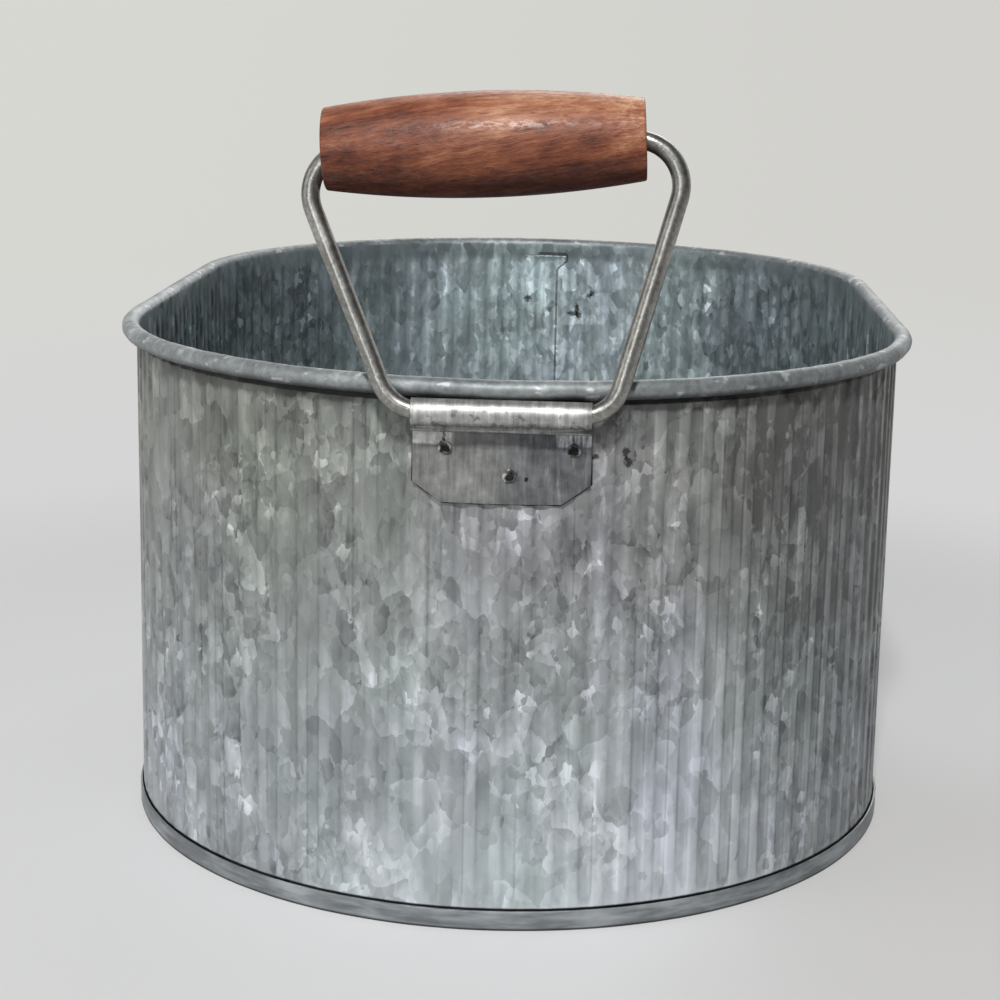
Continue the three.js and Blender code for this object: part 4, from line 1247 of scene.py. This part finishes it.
def grip_profile():
    """The grip's outline, (along, radius), as a closed loop: barrel, rounded edges, end faces and bore."""
    half = GRIP_LENGTH / 2
    right, left = bend_starts()
    shoulder = half - GRIP_ROUND
    barrel = [(x, GRIP_MIDDLE + (GRIP_END - GRIP_MIDDLE) * (x / half) ** 2) for x in spaced(-shoulder, shoulder, 41)]
    edge = barrel[-1][1] - GRIP_ROUND
    angles = [math.radians(22.5 * k) for k in range(1, 5)]
    right_edge = [(shoulder + GRIP_ROUND * math.sin(a), edge + GRIP_ROUND * math.cos(a)) for a in angles]
    left_edge = [(-x, radius) for x, radius in reversed(right_edge)]
    bore = [(x, bore_radius(x, right)) for x in spaced(half, right, 7)]
    bore += [(-x, bore_radius(x, left)) for x in spaced(left, half, 7)]
    return barrel + right_edge + bore + left_edge


def make_grip(end):
    """Turned wood round the wire. A place in it is read from the grip's middle, along it first."""
    sides = 96
    middle = skewed(GRIP_SHIFT, BAIL_HEIGHT)
    place = bail_place(end) @ Matrix.Translation((middle.x, 0.0, middle.y)) @ Matrix.Rotation(-BAIL_SKEW, 4, "Y")
    wood = Vector((0.0, 0.0, 0.0 if end == "front" else OTHER_WOOD))
    shape = bmesh.new()
    rings, own = [], []
    for x, radius in grip_profile():
        turns = [2 * math.pi * i / sides for i in range(sides)]
        spots = [Vector((x, radius * math.cos(turn), radius * math.sin(turn))) for turn in turns]
        own += [tuple(spot + wood) for spot in spots]
        rings.append([shape.verts.new(place @ spot) for spot in spots])
    skin(shape, rings + rings[:1], wrap=True)
    bmesh.ops.recalc_face_normals(shape, faces=shape.faces)
    mesh = mesh_from(f"{end}_wooden_grip", shape)
    keep_values(mesh, "grip_place", own, "FLOAT_VECTOR")
    smooth(mesh, math.radians(50))
    add_piece(f"{end}_wooden_grip", mesh, WOOD, f"{end}_handle", f"{end}_grip")


for end in ("front", "back"):
    make_bail(end)
    make_grip(end)

# The rim wire is hidden in the curl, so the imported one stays, with a plain material
frame["nodes"]["rim_wire"].data.materials.clear()
frame["nodes"]["rim_wire"].data.materials.append(RIM_WIRE)


# Seam inside the back end


def make_seam():
    """The lap of the wall sheet, with the corner of its upper edge cut off."""
    shape = bmesh.new()
    grid, places = [], []
    foot = FLOOR_RISE + BASE_SHEET + SEAT_GAP
    for s in spaced(TAB_EDGE, LAP_EDGE, 9)[:-1] + spaced(LAP_EDGE, LAP_EDGE + LAP_WIDTH, 25):
        low = TAB_TOP - TAB_SLOPE * (s - TAB_EDGE) / TAB_WIDTH if s < LAP_EDGE - 1e-9 else foot
        fade = max(low, CURL_FOOT - RIB_FADE)
        row = []
        for z in spaced(low, fade, 13) + spaced(fade, LAP_TOP, 5)[1:]:
            row.append(shape.verts.new(oval(s, rib_at(s, z) * SEEN_RIB_HEIGHT - SHEET, z)))
            places.append((s, z))
        grid.append(row)
    skin(shape, grid, flipped=True)
    mesh = mesh_from("lap_seam", shape)
    keep_values(mesh, "along", [s for s, _ in places])
    keep_values(mesh, "height", [z for _, z in places])
    keep_values(mesh, "inside", [1.0] * len(places))
    keep_values(mesh, "rib", [rib_at(s, z) for s, z in places])
    smooth(mesh)
    seam = add_piece("lap_seam", mesh, WALL, "tub")
    # The lap's cut edges take the dark cut-edge material, painted shade along the seam
    mesh.materials.append(CUT_EDGE)
    thicken(seam, SHEET).material_offset_rim = 1


make_seam()


# Camera, floor and light

ROOM = tone(212, 211, 207)


def add_camera():
    """Where the photograph was taken from: turned, raised and rolled a little, and shifted in its frame."""
    distance, azimuth, elevation, roll = 0.77901, math.radians(1.4), math.radians(11.48), math.radians(1.38)
    target = Vector((0.0, 0.0, 0.080))
    sideways, down = -0.01404, -0.02799
    # In pixels of the photo: its width, the lens and the point that the lens looks at
    size, focal, centre_x, centre_y = 1000, 2101.9, 560.0, 440.0
    level = math.cos(elevation)
    back = Vector((math.sin(azimuth) * level, -math.cos(azimuth) * level, math.sin(elevation)))
    right = (-back).cross(Vector((0, 0, 1))).normalized()
    up = right.cross(-back)
    c, s = math.cos(roll), math.sin(roll)
    right, up = right * c + up * s, up * c - right * s
    camera = bpy.data.cameras.new("camera")
    camera.sensor_width = 36.0
    camera.sensor_fit = "HORIZONTAL"
    camera.lens = focal * camera.sensor_width / size
    camera.shift_x = -(centre_x - size / 2) / size
    camera.shift_y = (centre_y - size / 2) / size
    camera.clip_start = 0.01
    camera.clip_end = 20.0
    holder = add_object("camera", camera)
    turn = Matrix((right, up, back)).transposed().to_4x4()
    holder.matrix_world = Matrix.Translation(target + back * distance - right * sideways - up * down) @ turn
    bpy.context.scene.camera = holder


def pale_paper():
    """Paper that takes light and shade near the tub, with a painted shadow at the tub's right front, and turns into
    an even tone further out.
    """
    material, graph = surface("pale_paper")
    ray = graph.node("ShaderNodeLightPath")
    seen = ray["Is Camera Ray"].at_least(ray["Is Glossy Ray"]).at_least(ray["Is Transmission Ray"])
    x, y, z = graph.split(graph.object_place())
    away = (x * x + y * y) ** 0.5
    # A painted shadow on the floor, right of the tub and in front of it
    painted_shadow = graph.mix(x.ramp(0.02, 0.12) * y.ramp(0.03, -0.1), grey(255), tone(234, 232, 229))
    paper = graph.mix(1.0, graph.mix(seen, tone(128, 128, 129), tone(220, 220, 221)), painted_shadow, "MULTIPLY")
    backdrop = graph.mix(x.ramp(-0.8, 0.8), tone(215, 215, 210), tone(209, 208, 204))
    backdrop = graph.mix((away + z).ramp(3.0, 3.9), backdrop, ROOM)
    plain = graph.mix((away + z).ramp(0.4, 1.6), tone(213, 213, 213), backdrop)
    lit = graph.node("ShaderNodeBsdfDiffuse", None, {"Color": paper})["BSDF"]
    even = graph.node("ShaderNodeEmission", None, {"Color": plain, "Strength": 1.0})["Emission"]
    share = away.ramp(0.26, 0.48, 0.35, 1.0) * seen
    both = graph.node("ShaderNodeMixShader", None, {0: share, 1: lit, 2: even})[0]
    graph.node("ShaderNodeOutputMaterial", None, {"Surface": both})
    return material


def add_floor():
    """A pale sweep: floor and wall in one curved sheet behind and in front of the tub."""
    half, near, bend, rise, top = 4.0, -4.0, 1.6, 0.9, 4.0
    line = [(near, 0.0), (bend, 0.0)]
    line += [(bend + rise * math.sin(a), rise - rise * math.cos(a)) for a in spaced(0.0, math.radians(90), 13)[1:]]
    line.append((bend + rise, top))
    shape = bmesh.new()
    skin(shape, [[shape.verts.new((x, y, z)) for y, z in line] for x in (-half, half)])
    mesh = mesh_from("studio_sweep", shape)
    smooth(mesh)
    mesh.materials.append(pale_paper())
    add_object("studio_sweep", mesh)


def add_lamp(name, place, aim, size, power, colour=(1.0, 1.0, 1.0)):
    lamp = bpy.data.lights.new(name, "AREA")
    lamp.shape = "RECTANGLE"
    lamp.size, lamp.size_y = size
    lamp.energy = power
    lamp.color = colour
    holder = add_object(name, lamp)
    holder.location = place
    holder.rotation_euler = (Vector(aim) - Vector(place)).to_track_quat("-Z", "Y").to_euler()


def add_world():
    """The room: brighter to the left, and one even tone where the camera sees it."""
    world = bpy.data.worlds.new("studio")
    bpy.context.scene.world = world
    graph = emptied(world)
    ray = graph.node("ShaderNodeLightPath")
    side, _, _ = graph.split(graph.node("ShaderNodeTexCoord")["Generated"])
    room = graph.mix(side.ramp(-0.4, 0.7), grey(110), grey(50))
    colour = graph.mix(ray["Is Camera Ray"], room, ROOM)
    sky = graph.node("ShaderNodeBackground", None, {"Color": colour, "Strength": 1.0})[0]
    graph.node("ShaderNodeOutputWorld", None, {"Surface": sky})


add_camera()
add_floor()
add_world()
add_lamp("key_light", (-0.07, -1.8, 1.85), (0.0, -0.15, 0.12), (0.24, 0.24), 50.0)
add_lamp("front_light", (-0.7, -2.17, 0.66), (0.0, 0.0, 0.11), (0.8, 0.35), 7.0, (0.97, 0.99, 1.0))
add_lamp("side_light", (-1.75, -0.75, 0.75), (0.0, 0.0, 0.08), (1.2, 1.2), 6.0, (1.0, 0.98, 0.94))
add_lamp("far_side_light", (1.9, 1.0, 0.9), (0.0, 0.05, 0.08), (1.2, 1.2), 2.5)
add_lamp("back_light", (0.35, 2.3, 1.4), (0.0, 0.1, 0.1), (1.6, 1.2), 22.0)
bpy.context.scene.view_settings.view_transform = "Standard"
